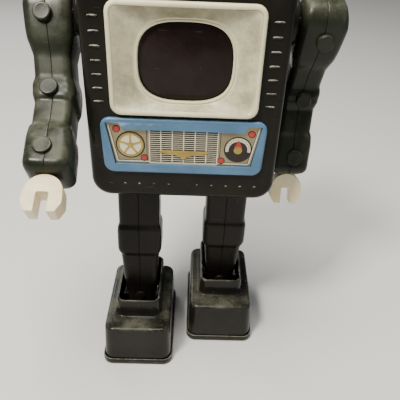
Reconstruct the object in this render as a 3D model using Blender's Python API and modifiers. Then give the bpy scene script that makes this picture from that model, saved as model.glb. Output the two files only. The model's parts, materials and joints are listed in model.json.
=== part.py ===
# Tin clockwork robot that walks: a box torso with a screen in its chest, two jointed arms with claw hands,
# and two hollow legs in shoes. The robot faces -Y, its left is +X, and it stands on z = 0.
# Every size is in millimetres and becomes metres as the meshes are made.

import math

import bmesh
import bpy
from mathutils import Matrix, Vector

mm = 0.001
gap = 0.3                    # clearance between neighbouring pieces
tin = 1.2                    # sheet of the torso and the shoes
shell_wall = 1.5             # wall of the moulded limbs

# Torso
torso_width, torso_height = 132.0, 151.2
torso_front, torso_seam, torso_back = -41.5, 20.0, 41.5
torso_low_radius, torso_top_radius, torso_edge_radius = 14.0, 12.0, 5.0
stand_shift = 19.4           # moves the shoulder axis back, so that the robot stands centred on its own box

# Chest screen and control panel
bezel_width, bezel_height, bezel_radius, bezel_up = 97.5, 72.0, 7.0, 101.6
bezel_proud, funnel_depth, bezel_wall = 4.0, 9.0, 1.3
screen_width, screen_height, screen_drop = 61.0, 51.0, 2.4
lens_bulge, lens_wall = 3.0, 1.2
panel_low, panel_high = 21.9, 63.1
panel_low_width, panel_high_width, panel_radius, panel_proud = 110.5, 113.5, 7.0, 2.4
plate_thick = 0.6

# Head
neck_radius, neck_height = 24.0, 5.0
head_width, head_depth, head_height, head_radius = 76.0, 62.0, 52.0, 9.0
eye_radius, eye_apart, ear_radius, ear_thick = 8.0, 17.0, 12.0, 6.0
mast_radius, mast_height, loop_radius = 1.2, 14.0, 6.0

# Legs and shoes
legs_between, leg_length, leg_wide, leg_deep = 38.2, 136.0, 33.6, 26.0
knee_wide, knee_deep, knee_top, knee_low = 36.8, 29.0, 60.0, 84.0
shin_wide, shin_deep = 24.5, 20.0
ankle_height, ankle_back, walk_swing = 36.0, 4.0, 6.0
shoe_wide, shoe_long, tier_height, lip_height, sole_margin = 55.3, 84.7, 38.6, 6.0, 2.4
collar_wide, collar_long, collar_back, collar_height = 37.0, 62.0, 5.0, 55.0
axle_radius = 2.0

# Arms and hands
shoulder_height, arm_clear, elbow_in, wrist_in = 120.2, 9.3, 5.6, 2.6
upper_arm, forearm, elbow_bend = 57.4, 48.1, 29.4
shoulder_wide, arm_wide, elbow_wide, wrist_wide = 32.0, 24.8, 28.5, 29.0
arm_front, arm_back, cuff_long = 12.0, 16.0, 15.5
boss_radius, boss_proud, boss_out = 5.9, 2.2, 2.0
right_arm_rest, left_arm_rest = -30.8, 15.1
shoulder_disc_radius, arm_shaft_radius = 17.0, 3.0
hand_wide, hand_long, hand_deep, slot_wide, slot_long = 25.0, 25.0, 12.5, 7.5, 13.0
peg_radius = 4.5

# Clockwork
module, tooth_share = 1.0, 0.36
great_teeth, pinion_teeth, contrate_teeth, crank_pinion_teeth = 48, 10, 24, 10
arbor_height = 66.2          # winding arbor above the torso's floor
motor_half_width, motor_plate = 32.0, 1.2
front_plate_at, back_plate_at = 14.0, 34.0
arbor_radius, shaft_radius = 2.5, 1.6
crank_throw, crank_disc_radius, crank_thick, crank_pin_long, lever_thick = 2.5, 7.0, 1.2, 1.2, 1.2
drum_radius, drum_half, drum_forward, pulley_radius, groove_radius = 18.0, 28.0, -8.0, 3.0, 16.5
belt_thick, belt_wide = 1.0, 1.2
key_wide, key_long, key_thick = 38.0, 26.0, 2.0

leg_apart = (legs_between + leg_wide) / 2
shoulder_out = torso_width / 2 + arm_clear + shoulder_wide / 2
elbow_out = shoulder_out - elbow_in
wrist_out = elbow_out - wrist_in
crank_out = legs_between / 2 - gap - lever_thick - 2 * gap - crank_pin_long - crank_thick
belt_out = crank_out - 1.6
hip_height = ankle_height + leg_length * math.cos(math.radians(walk_swing))
torso_low = hip_height - 12.5
torso_high = torso_low + torso_height
shoulder_z = torso_low + shoulder_height
screen_z = torso_low + bezel_up
arbor_z = torso_low + arbor_height
pitch_radius = {teeth: module * teeth / 2 for teeth in (great_teeth, pinion_teeth, contrate_teeth)}
crank_z = arbor_z - pitch_radius[great_teeth] - pitch_radius[pinion_teeth]
contrate_pitch_at = module * crank_pinion_teeth / 2

for obj in list(bpy.data.objects):
    bpy.data.objects.remove(obj)
parts = bpy.data.collections.new("walking_robot")
cutters = bpy.data.collections.new("cutters")
bpy.context.scene.collection.children.link(parts)
bpy.context.scene.collection.children.link(cutters)


def finish(name, colour, roughness, metallic=0.0):
    material = bpy.data.materials.new(name)
    material.use_nodes = True
    shader = material.node_tree.nodes["Principled BSDF"]
    shader.inputs["Base Color"].default_value = (*colour, 1)
    shader.inputs["Roughness"].default_value = roughness
    shader.inputs["Metallic"].default_value = metallic
    return material


dark_paint = finish("dark_paint", (0.020, 0.022, 0.015), 0.25)
dark_plastic = finish("dark_plastic", (0.028, 0.031, 0.022), 0.32)
cream_plastic = finish("cream_plastic", (0.72, 0.66, 0.48), 0.4)
cream_paint = finish("cream_paint", (0.62, 0.60, 0.50), 0.35)
smoked_lens = finish("smoked_lens", (0.012, 0.008, 0.006), 0.08)
blue_paint = finish("blue_paint", (0.10, 0.22, 0.36), 0.35)
printed_tin = finish("printed_tin", (0.42, 0.37, 0.26), 0.4, 0.5)
bright_tin = finish("bright_tin", (0.62, 0.60, 0.55), 0.3, 1.0)
steel = finish("steel", (0.45, 0.45, 0.46), 0.35, 1.0)
brass = finish("brass", (0.62, 0.46, 0.20), 0.35, 1.0)
rubber = finish("rubber", (0.03, 0.03, 0.03), 0.7)
print_strip = finish("print_strip", (0.35, 0.30, 0.22), 0.6)


def empty(name, place=(0, 0, 0), turn=0.0, parent=None):
    # A frame on a joint's axis, turned in degrees about X.
    obj = bpy.data.objects.new(name, None)
    parts.objects.link(obj)
    obj.parent = parent
    obj.location = Vector(place) * mm
    obj.rotation_euler = (math.radians(turn), 0, 0)
    return obj


def piece(name, bm, material, parent=None, place=(0, 0, 0), home=None, smooth=35):
    mesh = bpy.data.meshes.new(name)
    bm.to_mesh(mesh)
    bm.free()
    obj = bpy.data.objects.new(name, mesh)
    (home or parts).objects.link(obj)
    obj.parent = parent
    obj.location = Vector(place) * mm
    if material:
        mesh.materials.append(material)
        mesh.shade_smooth()
        mesh.set_sharp_from_angle(angle=math.radians(smooth))
    return obj


def block(low, high):
    bm = bmesh.new()
    bmesh.ops.create_cube(bm, size=1)
    low, high = Vector(low) * mm, Vector(high) * mm
    for vert in bm.verts:
        vert.co = Vector(a + (b - a) * (c + 0.5) for a, b, c in zip(low, high, vert.co))
    return bm


def edges_along(bm, axis, side=None):
    # Edges parallel to an axis, or only those whose middle passes a (axis, value, sign) test.
    found = [e for e in bm.edges if abs((e.verts[0].co - e.verts[1].co).normalized()[axis]) > 0.99]
    if side:
        other, value, sign = side
        found = [e for e in found if sign * ((e.verts[0].co + e.verts[1].co) / 2)[other] > sign * value * mm]
    return found


def edges_on(bm, axis, value):
    return [e for e in bm.edges if all(abs(v.co[axis] - value * mm) < 1e-7 for v in e.verts)]


def round_edges(bm, edges, radius, segments=3):
    bmesh.ops.bevel(bm, geom=edges, offset=radius * mm, offset_type="OFFSET", segments=segments,
                    profile=0.5, affect="EDGES")
    return bm


def open_at(bm, axis, value):
    faces = [f for f in bm.faces if all(abs(v.co[axis] - value * mm) < 1e-7 for v in f.verts)]
    bmesh.ops.delete(bm, geom=faces, context="FACES")
    return bm


def rod(radius, start, end, axis, sides=16, other_radius=None):
    # A cylinder or cone along an axis letter, from start to end, on the local origin's line.
    bm = bmesh.new()
    bmesh.ops.create_cone(bm, cap_ends=True, segments=sides, radius1=radius * mm,
                          radius2=(radius if other_radius is None else other_radius) * mm,
                          depth=(end - start) * mm)
    bmesh.ops.translate(bm, verts=bm.verts, vec=(0, 0, (start + end) / 2 * mm))
    turn = {"X": Matrix.Rotation(math.pi / 2, 3, "Y"), "Y": Matrix.Rotation(-math.pi / 2, 3, "X"),
            "Z": Matrix.Identity(3)}[axis]
    bmesh.ops.rotate(bm, verts=bm.verts, matrix=turn)
    return bm


def loft(rings, closed=True, cap_start=False, cap_end=False):
    # Skin over sections that each hold the same number of points.
    bm = bmesh.new()
    rows = [[bm.verts.new(Vector(point) * mm) for point in ring] for ring in rings]
    for first, second in zip(rows, rows[1:]):
        count = len(first)
        for i in range(count if closed else count - 1):
            j = (i + 1) % count
            bm.faces.new((first[i], first[j], second[j], second[i]))
    if cap_start:
        bm.faces.new(rows[0][::-1])
    if cap_end:
        bm.faces.new(rows[-1])
    return bm


def outward(bm):
    bmesh.ops.recalc_face_normals(bm, faces=bm.faces)
    return bm


def prism(outline, start, end, axis="Z"):
    # A flat outline of (across, up) points given a thickness along an axis.
    orders = {"X": lambda a, b, t: (t, a, b), "Y": lambda a, b, t: (a, t, b), "Z": lambda a, b, t: (a, b, t)}
    place = orders[axis]
    rings = [[place(a, b, t) for a, b in outline] for t in (start, end)]
    return outward(loft(rings, cap_start=True, cap_end=True))


def rounded(half_a, half_b, radius, steps=4, power=None):
    # A rectangle with round corners, or a superellipse where power is given, as (a, b) points.
    points = []
    for corner in range(4):
        for step in range(steps + 1):
            angle = math.pi / 2 * (corner + step / steps)
            c, s = math.cos(angle), math.sin(angle)
            if power:
                angle = math.pi / 2 * (corner + (step + 0.5) / (steps + 1))
                c, s = math.cos(angle), math.sin(angle)
                points.append((half_a * math.copysign(abs(c) ** (2 / power), c),
                               half_b * math.copysign(abs(s) ** (2 / power), s)))
                continue
            away_a = (half_a - radius) * (1 if corner in (0, 3) else -1)
            away_b = (half_b - radius) * (1 if corner in (0, 1) else -1)
            points.append((away_a + radius * c, away_b + radius * s))
    return points


def arc(centre, radius, start, end, steps):
    turns = [math.radians(start + (end - start) * i / steps) for i in range(steps + 1)]
    return [(centre[0] + radius * math.cos(t), centre[1] + radius * math.sin(t)) for t in turns]


def solidify(obj, wall):
    modifier = obj.modifiers.new("Wall", "SOLIDIFY")
    modifier.thickness = wall * mm
    modifier.offset = -1
    modifier.use_even_offset = True
    return obj


def combine(obj, bm, operation="DIFFERENCE", place=None):
    # Cuts a helper shape from a piece, or joins it on. The helper sits in the piece's own frame.
    helper = piece(f"{operation.lower()}_{obj.name}_{len(obj.modifiers)}", outward(bm), None,
                   obj.parent, place or (0, 0, 0), cutters)
    helper.hide_render = True
    helper.display_type = "WIRE"
    modifier = obj.modifiers.new("Shape", "BOOLEAN")
    modifier.operation = operation
    modifier.solver = "EXACT"
    modifier.object = helper
    return obj


def turned(name, profile, material, parent=None, place=(0, 0, 0), axis="Z", steps=24):
    # A profile of (radius, height) points, running down its outer side, turned about an axis.
    bm = bmesh.new()
    verts = [bm.verts.new((radius * mm, 0, height * mm)) for radius, height in profile]
    for first, second in zip(verts, verts[1:]):
        bm.edges.new((first, second))
    if profile[0][0] > 0:
        bm.edges.new((verts[-1], verts[0]))
    obj = piece(name, bm, material, parent, place)
    obj.rotation_euler = {"Z": (0, 0, 0), "-Y": (math.pi / 2, 0, 0), "X": (0, math.pi / 2, 0),
                          "-X": (0, -math.pi / 2, 0)}[axis]
    screw = obj.modifiers.new("Turn", "SCREW")
    screw.steps = screw.render_steps = steps
    screw.use_merge_vertices = True
    screw.merge_threshold = 0.00001
    screw.use_smooth_shade = True
    return obj


def gear_outline(teeth, phase):
    # Straight-sided teeth with ample backlash; phase turns a tooth to that angle in degrees.
    pitch = module * teeth / 2
    root, tip = pitch - 1.1 * module, pitch + 0.8 * module
    share = math.pi * tooth_share / teeth
    points = []
    for tooth in range(teeth):
        centre = math.radians(phase) + 2 * math.pi * tooth / teeth
        for radius, spread in ((root, -1.9), (tip, -0.5), (tip, 0.5), (root, 1.9)):
            turn = centre + share * spread
            points.append((radius * math.cos(turn), radius * math.sin(turn)))
    return points


# The whole robot stands on this frame.

robot = empty("robot_frame", (0, stand_shift, 0))


def make_torso():
    half = torso_width / 2
    bm = block((-half, torso_front, torso_low), (half, torso_seam, torso_high))
    middle = (torso_low + torso_high) / 2
    round_edges(bm, edges_along(bm, 1, (2, middle, -1)), torso_low_radius, 5)
    round_edges(bm, edges_along(bm, 1, (2, torso_high - 1, 1)), torso_top_radius, 5)
    round_edges(bm, edges_on(bm, 1, torso_front), torso_edge_radius, 3)
    front = solidify(piece("torso_shell", open_at(bm, 1, torso_seam), dark_paint, robot), tin)
    half_window = (bezel_width / 2 - 4.6, bezel_height / 2 - 2.2)
    outline = rounded(*half_window, bezel_radius, 3)
    outline = [(a, screen_z + b) for a, b in outline]
    combine(front, prism(outline, torso_front - 2, torso_front + 4, "Y"))
    for side in (-1, 1):
        slot_half = leg_wide / 2 + 1
        combine(front, block((side * leg_apart - slot_half, -leg_deep / 2 - 2.5, torso_low - 2),
                             (side * leg_apart + slot_half, leg_deep / 2 + 2.5, torso_low + 3)))
    combine(front, rod(arm_shaft_radius + gap, -half - 2, half + 2, "X"), place=(0, 0, shoulder_z))

    bm = block((-half, torso_seam + gap, torso_low), (half, torso_back, torso_high))
    round_edges(bm, edges_along(bm, 1, (2, middle, -1)), torso_low_radius, 5)
    round_edges(bm, edges_along(bm, 1, (2, torso_high - 1, 1)), torso_top_radius, 5)
    round_edges(bm, edges_on(bm, 1, torso_back), torso_edge_radius, 3)
    back = solidify(piece("rear_cover", open_at(bm, 1, torso_seam + gap), dark_paint, robot), tin)
    combine(back, rod(arbor_radius + 1, torso_back - 4, torso_back + 2, "Y"), place=(0, 0, arbor_z))
    lever_slot = block((16, torso_back - 4, arbor_z - 39), (28, torso_back + 2, arbor_z - 33))
    combine(back, lever_slot)


def make_screen():
    half_a, half_b = bezel_width / 2, bezel_height / 2
    face = torso_front - gap
    rim = torso_front - bezel_proud
    deep = rim + funnel_depth
    opening = (screen_width / 2, screen_height / 2)

    def level(inset, depth, radius):
        return [(a, depth, screen_z + b) for a, b in rounded(half_a - inset, half_b - inset, radius, 4)]

    def oval(grow, depth):
        outline = rounded(opening[0] + grow, opening[1] + grow, 0, 4, 2.9)
        return [(a, depth, screen_z - screen_drop + b) for a, b in outline]

    rings = [level(0, face - bezel_wall, bezel_radius), level(0, rim + 1, bezel_radius),
             level(1, rim, bezel_radius), level(2.4, rim, bezel_radius - 1.4),
             level(3.1, rim + 0.7, bezel_radius - 2),
             oval(1.2, deep - 0.6), oval(0.6, deep - 1.2), oval(0, deep - 0.4), oval(0, deep + 1)]
    bezel = piece("screen_bezel", loft(rings), cream_paint, robot)
    solidify(bezel, bezel_wall)

    seat = deep + 1 + 2 * gap
    rings = [oval(3.2, seat), oval(-0.6, seat)]
    for share in (0.92, 0.7, 0.4, 0.12):
        depth = seat - lens_bulge * (1 - share ** 2)
        rings.append([(a * share, depth, screen_z - screen_drop + b * share)
                      for a, b in rounded(opening[0] - 0.6, opening[1] - 0.6, 0, 4, 2.9)])
    lens = piece("screen_lens", loft(rings, cap_end=True), smoked_lens, robot)
    solidify(lens, lens_wall)


def panel_edge(inset, steps=4):
    # The frame's outline: a little wider at the top than at the bottom.
    low, high = torso_low + panel_low + inset, torso_low + panel_high - inset
    centre, half_up = (low + high) / 2, (high - low) / 2
    points = []
    for a, b in rounded(panel_high_width / 2 - inset, half_up, max(panel_radius - inset, 0.8), steps):
        lean = (panel_high_width - panel_low_width) / 2 * (half_up - b) / (2 * half_up)
        points.append((a - math.copysign(lean, a), centre + b))
    return points


def plate_edge(inset):
    # The printed plate's outline: slanted ends and a raised step at each top corner.
    low, top = torso_low + panel_low + 7 + inset, torso_low + panel_high - 3.4 - inset
    bar = top - 4.6
    half_low, half_top, step = 47.5 - inset, 53.0 - inset, 44.0 + inset
    return [(-half_low, low), (half_low, low), (half_top, top), (step, top), (step - 3, bar), (-step + 3, bar),
            (-step, top), (-half_top, top)]


def make_panel():
    back = torso_front - gap
    frame = piece("panel_frame", prism(panel_edge(0), back - panel_proud, back, "Y"), blue_paint, robot)
    combine(frame, prism(plate_edge(0), back - panel_proud - 1, back + 1, "Y"))
    piece("panel_plate", prism(plate_edge(gap), back - plate_thick, back, "Y"), printed_tin, robot)


def make_head():
    low = torso_high + gap
    collar = low + neck_height
    turned("neck_ring", [(neck_radius, neck_height), (neck_radius, 0), (neck_radius - 3, 0),
                         (neck_radius - 3, neck_height)], dark_paint, robot, (0, 0, low), steps=32)
    base = collar + gap
    top = base + head_height
    bm = block((-head_width / 2, -head_depth / 2, base), (head_width / 2, head_depth / 2, top))
    round_edges(bm, edges_along(bm, 2), head_radius, 4)
    round_edges(bm, edges_on(bm, 2, top), head_radius - 2, 3)
    head = solidify(piece("head_shell", bm, dark_paint, robot), tin)
    combine(head, rod(neck_radius - 4, base - 2, base + 5, "Z"))
    combine(head, rod(mast_radius + gap, top - 4, top + 2, "Z"))
    eyes = base + head_height * 0.6
    for name, side in (("left", 1), ("right", -1)):
        turned(f"eye_{name}", [(0, 3.2), (3.5, 2.8), (6.2, 1.8), (eye_radius, 0.6), (eye_radius, 0), (0, 0)],
               cream_plastic, robot, (side * eye_apart, -head_depth / 2 - gap, eyes), "-Y")
        turned(f"ear_{name}", [(0, ear_thick), (ear_radius - 4, ear_thick), (ear_radius - 2, ear_thick - 2),
                               (ear_radius, 1.5), (ear_radius, 0), (0, 0)],
               cream_plastic, robot, (side * (head_width / 2 + gap), 0, eyes - 4), "X" if side > 0 else "-X")
    mouth = [(a, base + head_height * 0.24 + b) for a, b in rounded(17, 4.5, 2, 3)]
    grille_at = -head_depth / 2 - gap
    grille = piece("mouth_grille", prism(mouth, grille_at - 1.5, grille_at, "Y"), bright_tin, robot)
    for bar in range(-3, 4):
        across = bar * 4.3
        combine(grille, block((across - 0.9, grille_at - 3, base + head_height * 0.24 - 3),
                              (across + 0.9, grille_at + 1, base + head_height * 0.24 + 3)))

    antenna = empty("antenna_axis", (0, 0, top), parent=robot)
    mast = piece("antenna", rod(mast_radius, -tin - 3, mast_height, "Z", 12), steel, antenna)
    around, thick = 20, 1.1
    rings = []
    for i in range(around):
        turn = 2 * math.pi * i / around
        wire = arc((loop_radius, 0), thick, 0, 315, 7)
        lift = mast_height + loop_radius - 0.5
        rings.append([(a * math.sin(turn), b, lift - a * math.cos(turn)) for a, b in wire])
    combine(mast, loft(rings + rings[:1]), "UNION")
    combine(mast, rod(mast_radius + 1.6, gap, 2.5, "Z", 16), "UNION")


def half_section(half_wide, front, back, radius, side, steps=2):
    # Half of a rounded rectangle in (x, y), from the front seam round one side to the back seam.
    points = [(side * gap / 2, -front)]
    for centre_y, start in ((-(front - radius), -90), (back - radius, 0)):
        points += [(side * (half_wide - radius + radius * math.cos(t)), centre_y + radius * math.sin(t))
                   for t in (math.radians(start + 90 * i / steps) for i in range(steps + 1))]
    points.append((side * gap / 2, back))
    return points


def limb_half(name, sections, side, parent, route):
    # One moulded half of a limb. A section is (distance, half width, front, back, corner radius), and route
    # turns a distance into a centre (x, y, z) and the lean of the section about X.
    rings = []
    for distance, half_wide, front, back, radius in sections:
        (x, y, z), lean = route(distance)
        c, s = math.cos(lean), math.sin(lean)
        section = half_section(half_wide, front, back, radius, side)
        rings.append([(x + a, y + b * c, z + b * s) for a, b in section])
    bm = loft(rings, closed=False, cap_start=True, cap_end=True)
    if side > 0:
        bmesh.ops.reverse_faces(bm, faces=bm.faces)
    return solidify(piece(name, bm, dark_plastic, parent), shell_wall)


def leg_sections():
    top = leg_deep / 2
    return [(-top * 0.97, leg_wide / 2 - 3, 3.4, 3.4, 3.0), (-top * 0.72, leg_wide / 2 - 1, 9.1, 9.1, 4.5),
            (-top * 0.3, leg_wide / 2, 12.5, 12.5, 5), (0, leg_wide / 2, top, top, 5),
            (knee_top - 3, leg_wide / 2, top, top, 5),
            (knee_top, knee_wide / 2 - 0.5, knee_deep / 2, knee_deep / 2, 5.5),
            (knee_top + 4, knee_wide / 2, knee_deep / 2, knee_deep / 2, 5.5),
            (knee_low - 4, knee_wide / 2, knee_deep / 2, knee_deep / 2, 5.5),
            (knee_low, knee_wide / 2 - 1, knee_deep / 2 - 0.5, knee_deep / 2 - 0.5, 5.5),
            (knee_low + 2.5, leg_wide / 2 - 0.5, top - 1, top - 1, 5),
            (leg_length - 18, shin_wide / 2 + 1.6, shin_deep / 2 + 0.9, shin_deep / 2 + 0.9, 5),
            (leg_length - 8, shin_wide / 2, shin_deep / 2, shin_deep / 2, 5),
            (leg_length, shin_wide / 2, shin_deep / 2, shin_deep / 2, 5),
            (leg_length + 6, shin_wide / 2 - 1, 7.5, 7.5, 4), (leg_length + 9, shin_wide / 2 - 3, 3.6, 3.6, 3)]


def straight(distance):
    return (0, 0, -distance), 0.0


def make_leg(name, side, swing):
    hip = empty(f"{name}_hip", (side * leg_apart, 0, hip_height), swing, robot)
    for half, out in (("outer", side), ("inner", -side)):
        shell = limb_half(f"{name}_leg_{half}", leg_sections(), out, hip, straight)
        combine(shell, rod(axle_radius + gap, -40, 40, "X"))
        combine(shell, rod(axle_radius + gap, -40, 40, "X"), place=(0, 0, -leg_length))
    lever_top = crank_z - hip_height + 7
    at = (-side * (leg_wide / 2 + gap + lever_thick / 2), 0, 0)
    lever = prism([(-4, -5), (4, -5), (4, lever_top), (-4, lever_top)], -lever_thick / 2, lever_thick / 2, "X")
    lever = piece(f"{name}_leg_lever", lever, steel, hip, at)
    reach = crank_z - hip_height
    combine(lever, rod(axle_radius + gap, -3, 3, "X"), place=at)
    slot = [(-1.8, reach - 4.5), (1.8, reach - 4.5), (1.8, reach + 4.5), (-1.8, reach + 4.5)]
    combine(lever, prism(slot, -3, 3, "X"), place=at)
    ankle_half = shin_wide / 2 + 4
    piece(f"{name}_ankle_axle", rod(axle_radius, -ankle_half, ankle_half, "X"), steel, hip, (0, 0, -leg_length))

    ankle = empty(f"{name}_ankle", (0, 0, -leg_length), -swing, hip)
    make_shoe(name, ankle)


def make_shoe(name, ankle):
    sole_z = -ankle_height
    centre = -ankle_back

    def level(half_wide, half_long, radius, height, back=0.0):
        return [(a, centre + back + b, sole_z + height) for a, b in rounded(half_wide, half_long, radius, 3)]

    wide, long = shoe_wide / 2, shoe_long / 2
    base_wide, base_long = wide + sole_margin, long + sole_margin + 1.9
    inner = tin + gap
    rings = [level(base_wide - inner, base_long - inner, 8.0, inner),
             level(base_wide - inner, base_long - inner, 8.0, lip_height),
             level(wide, long + 0.3, 8.0, tier_height - 3),
             level(wide - 0.8, long - 0.5, 7.5, tier_height - 0.9),
             level(wide - 2.6, long - 2.3, 6.5, tier_height)]
    collar_a, collar_b = collar_wide / 2, collar_long / 2
    rings += [level(collar_a + 1.8, collar_b + 1.8, 7.0, tier_height, collar_back),
              level(collar_a + 1.0, collar_b + 1.0, 6.5, tier_height + 1, collar_back),
              level(collar_a, collar_b, 6.0, collar_height - 1.2, collar_back),
              level(collar_a - 0.6, collar_b - 0.6, 5.6, collar_height - 0.2, collar_back),
              level(collar_a - 1.6, collar_b - 1.6, 5.0, collar_height, collar_back)]
    solidify(piece(f"{name}_shoe_upper", loft(rings), dark_paint, ankle), tin)

    rings = [level(base_wide - 1.2, base_long - 1.2, 7.5, 0), level(base_wide, base_long, 8.5, 1.2),
             level(base_wide, base_long, 8.5, lip_height)]
    solidify(piece(f"{name}_shoe_sole", loft(rings, cap_start=True), dark_paint, ankle), tin)

    inside = shin_wide / 2 + gap + 1.2
    sheet, low = 1.2, sole_z + tin + gap
    bracket = block((-inside - sheet, -6, low), (inside + sheet, 6, low + sheet))
    bracket = piece(f"{name}_ankle_bracket", bracket, steel, ankle)
    for side in (-1, 1):
        inner_x, outer_x = side * inside, side * (inside + sheet)
        combine(bracket, block((min(inner_x, outer_x), -6, low), (max(inner_x, outer_x), 6, 5)), "UNION")
    combine(bracket, rod(axle_radius + gap, -30, 30, "X"))


def arm_route(side):
    # Down the upper arm, round the elbow and along the forearm, drifting in towards the body.
    bend = math.radians(elbow_bend)
    ease = 5.0               # the turn is spread over this much either side of the elbow

    def route(distance):
        share = min(max(distance / upper_arm, 0), 1)
        x = shoulder_out + (elbow_out - shoulder_out) * share
        past = max(distance - upper_arm, 0)
        x += (wrist_out - elbow_out) * min(past / forearm, 1.2)
        y = -past * math.sin(bend)
        z = -min(distance, upper_arm) - past * math.cos(bend)
        lean = -bend * min(max((distance - upper_arm + ease) / (2 * ease), 0), 1)
        return (side * x - side * shoulder_out, y, z), lean

    return route


def arm_sections():
    top = shoulder_disc_radius
    half, wide, elbow, wrist = shoulder_wide / 2, arm_wide / 2, elbow_wide / 2, wrist_wide / 2
    front, back = arm_front, arm_back
    rows = [(-top * 0.97, half - 6, 4.0, 4.0, 3.5), (-top * 0.72, half - 2.5, 11.5, 11.5, 5),
            (-top * 0.35, half - 0.6, 15.2, 15.2, 6), (0, half, 16.2, 17.0, 6), (14, half - 0.3, 15.8, 18.0, 6),
            (22, half - 0.9, 15.0, 18.0, 6), (26, half - 2.0, 14.0, 17.4, 5.5),
            (29.5, wide + 0.8, front + 0.6, back + 0.6, 5), (33, wide, front, back, 5)]
    rows += [(upper_arm - 12, wide, front, back, 5), (upper_arm - 7, elbow - 0.7, front + 1.8, back + 0.8, 5.5),
             (upper_arm - 2, elbow, front + 2.6, back + 1.2, 6),
             (upper_arm + 6, elbow - 0.2, front + 2.6, back + 1, 6),
             (upper_arm + 10, elbow - 1.2, front + 1.8, back + 0.4, 5.5),
             (upper_arm + 12.5, wide, front, back, 5),
             (upper_arm + 29, wide, front, back, 5)]
    end = upper_arm + forearm
    rows += [(end - 15, wrist - 0.8, front + 1.6, back + 1.2, 5.5), (end - 6, wrist, front + 2.2, back + 2, 6),
             (end + cuff_long - 6, wrist, front + 2.2, back + 2, 6),
             (end + cuff_long - 1.5, wrist - 2.0, front - 0.2, back - 0.4, 5.5),
             (end + cuff_long, wrist - 4.5, front - 3, back - 3.2, 4)]
    return rows


def boss_front(distance):
    # How far forward the arm reaches anywhere under a boss at this distance.
    rows = arm_sections()
    reach = []
    for first, second in zip(rows, rows[1:]):
        for step in range(5):
            along = first[0] + (second[0] - first[0]) * step / 4
            if abs(along - distance) <= boss_radius:
                reach.append(first[2] + (second[2] - first[2]) * step / 4)
    return max(reach)


def add_boss(shell, side, place, lean, front):
    # A round boss that covers the seam: its root is on this half only, and its cap clears the other half.
    low_x, high_x = sorted((side * (0.8 - boss_out), side * 0.7 * boss_radius))
    half_up = 0.6 * boss_radius
    root = block((low_x, -front - gap - 0.4, -half_up), (high_x, -front + shell_wall, half_up))
    cap = rod(boss_radius, -front - boss_proud, -front - gap, "Y", 20)
    for bm in (root, cap):
        bmesh.ops.rotate(bm, verts=bm.verts, matrix=Matrix.Rotation(lean, 3, "X"))
        combine(shell, bm, "UNION", (place[0] + side * boss_out, place[1], place[2]))


def make_arm(name, side, swing):
    shoulder = empty(f"{name}_shoulder", (side * shoulder_out, 0, shoulder_z), swing, robot)
    route = arm_route(side)
    boss_places = (6.5, upper_arm + 1.5, upper_arm + forearm + 0.8)
    end = upper_arm + forearm + cuff_long
    wrist_point, wrist_lean = route(end)
    peg_turn = Matrix.Rotation(wrist_lean, 3, "X")
    for half, out in (("outer", side), ("inner", -side)):
        shell = limb_half(f"{name}_arm_{half}", arm_sections(), out, shoulder, route)
        combine(shell, rod(arm_shaft_radius + gap, -shoulder_wide / 2 - 3, shoulder_wide / 2 - 5, "X")
                if side > 0 else rod(arm_shaft_radius + gap, 5 - shoulder_wide / 2, shoulder_wide / 2 + 3, "X"))
        peg_hole = rod(peg_radius + gap, -8, 5, "Z")
        bmesh.ops.rotate(peg_hole, verts=peg_hole.verts, matrix=peg_turn)
        combine(shell, peg_hole, place=wrist_point)
        if out != side:
            continue
        for distance in boss_places:
            lift = 0.3 * boss_radius * math.sin(math.radians(elbow_bend)) if distance < upper_arm + 5 else 0
            add_boss(shell, side, *route(distance), boss_front(distance) + lift)

    inside = shoulder_out - torso_width / 2 + 9
    wall_x = shoulder_wide / 2 - shell_wall - gap - 4
    start, stop = (-inside, wall_x) if side > 0 else (-wall_x, inside)
    shaft = piece(f"{name}_arm_shaft", rod(arm_shaft_radius, start, stop, "X"), steel, shoulder)
    crank_low, crank_high = (start, start + 1.5) if side > 0 else (stop - 1.5, stop)
    combine(shaft, block((crank_low, -3.2, -22), (crank_high, 3.2, 0)), "UNION")

    disc_low = torso_width / 2 + gap
    drift = (shoulder_out - elbow_out) * shoulder_disc_radius / upper_arm
    disc_high = shoulder_out - shoulder_wide / 2 - gap - drift
    disc = [(shoulder_disc_radius - 1.5, disc_high), (shoulder_disc_radius, disc_high - 1.5),
            (shoulder_disc_radius, disc_low), (arm_shaft_radius + gap, disc_low),
            (arm_shaft_radius + gap, disc_high)]
    turned(f"shoulder_disc_{name}", disc, dark_paint, robot, (0, 0, shoulder_z), "X" if side > 0 else "-X", 28)

    wrist = empty(f"{name}_wrist", wrist_point, math.degrees(wrist_lean), shoulder)
    make_hand(name, wrist)


def make_hand(name, wrist):
    half, slot, chamfer = hand_wide / 2, slot_wide / 2, 4.0
    top = -gap - 0.2
    low = top - hand_long
    outline = [(-half, low + 7), (-half + chamfer, low), (-slot, low), (-slot, low + slot_long),
               (slot, low + slot_long), (slot, low), (half - chamfer, low), (half, low + 7)]
    crown = arc((0, top - 12), 12, 20, 160, 8)
    outline += [(half, top - 12)] + [(a, b) for a, b in crown] + [(-half, top - 12)]
    bm = prism(outline, -hand_deep / 2, hand_deep / 2, "Y")
    round_edges(bm, [e for e in bm.edges if e.calc_face_angle(0) > 1.2
                     and abs(e.verts[0].co.y - e.verts[1].co.y) < 1e-7], 1.4, 2)
    hand = piece(f"{name}_hand", outward(bm), cream_plastic, wrist)
    combine(hand, rod(peg_radius, top - 6, shell_wall + 3, "Z"), "UNION")


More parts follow.
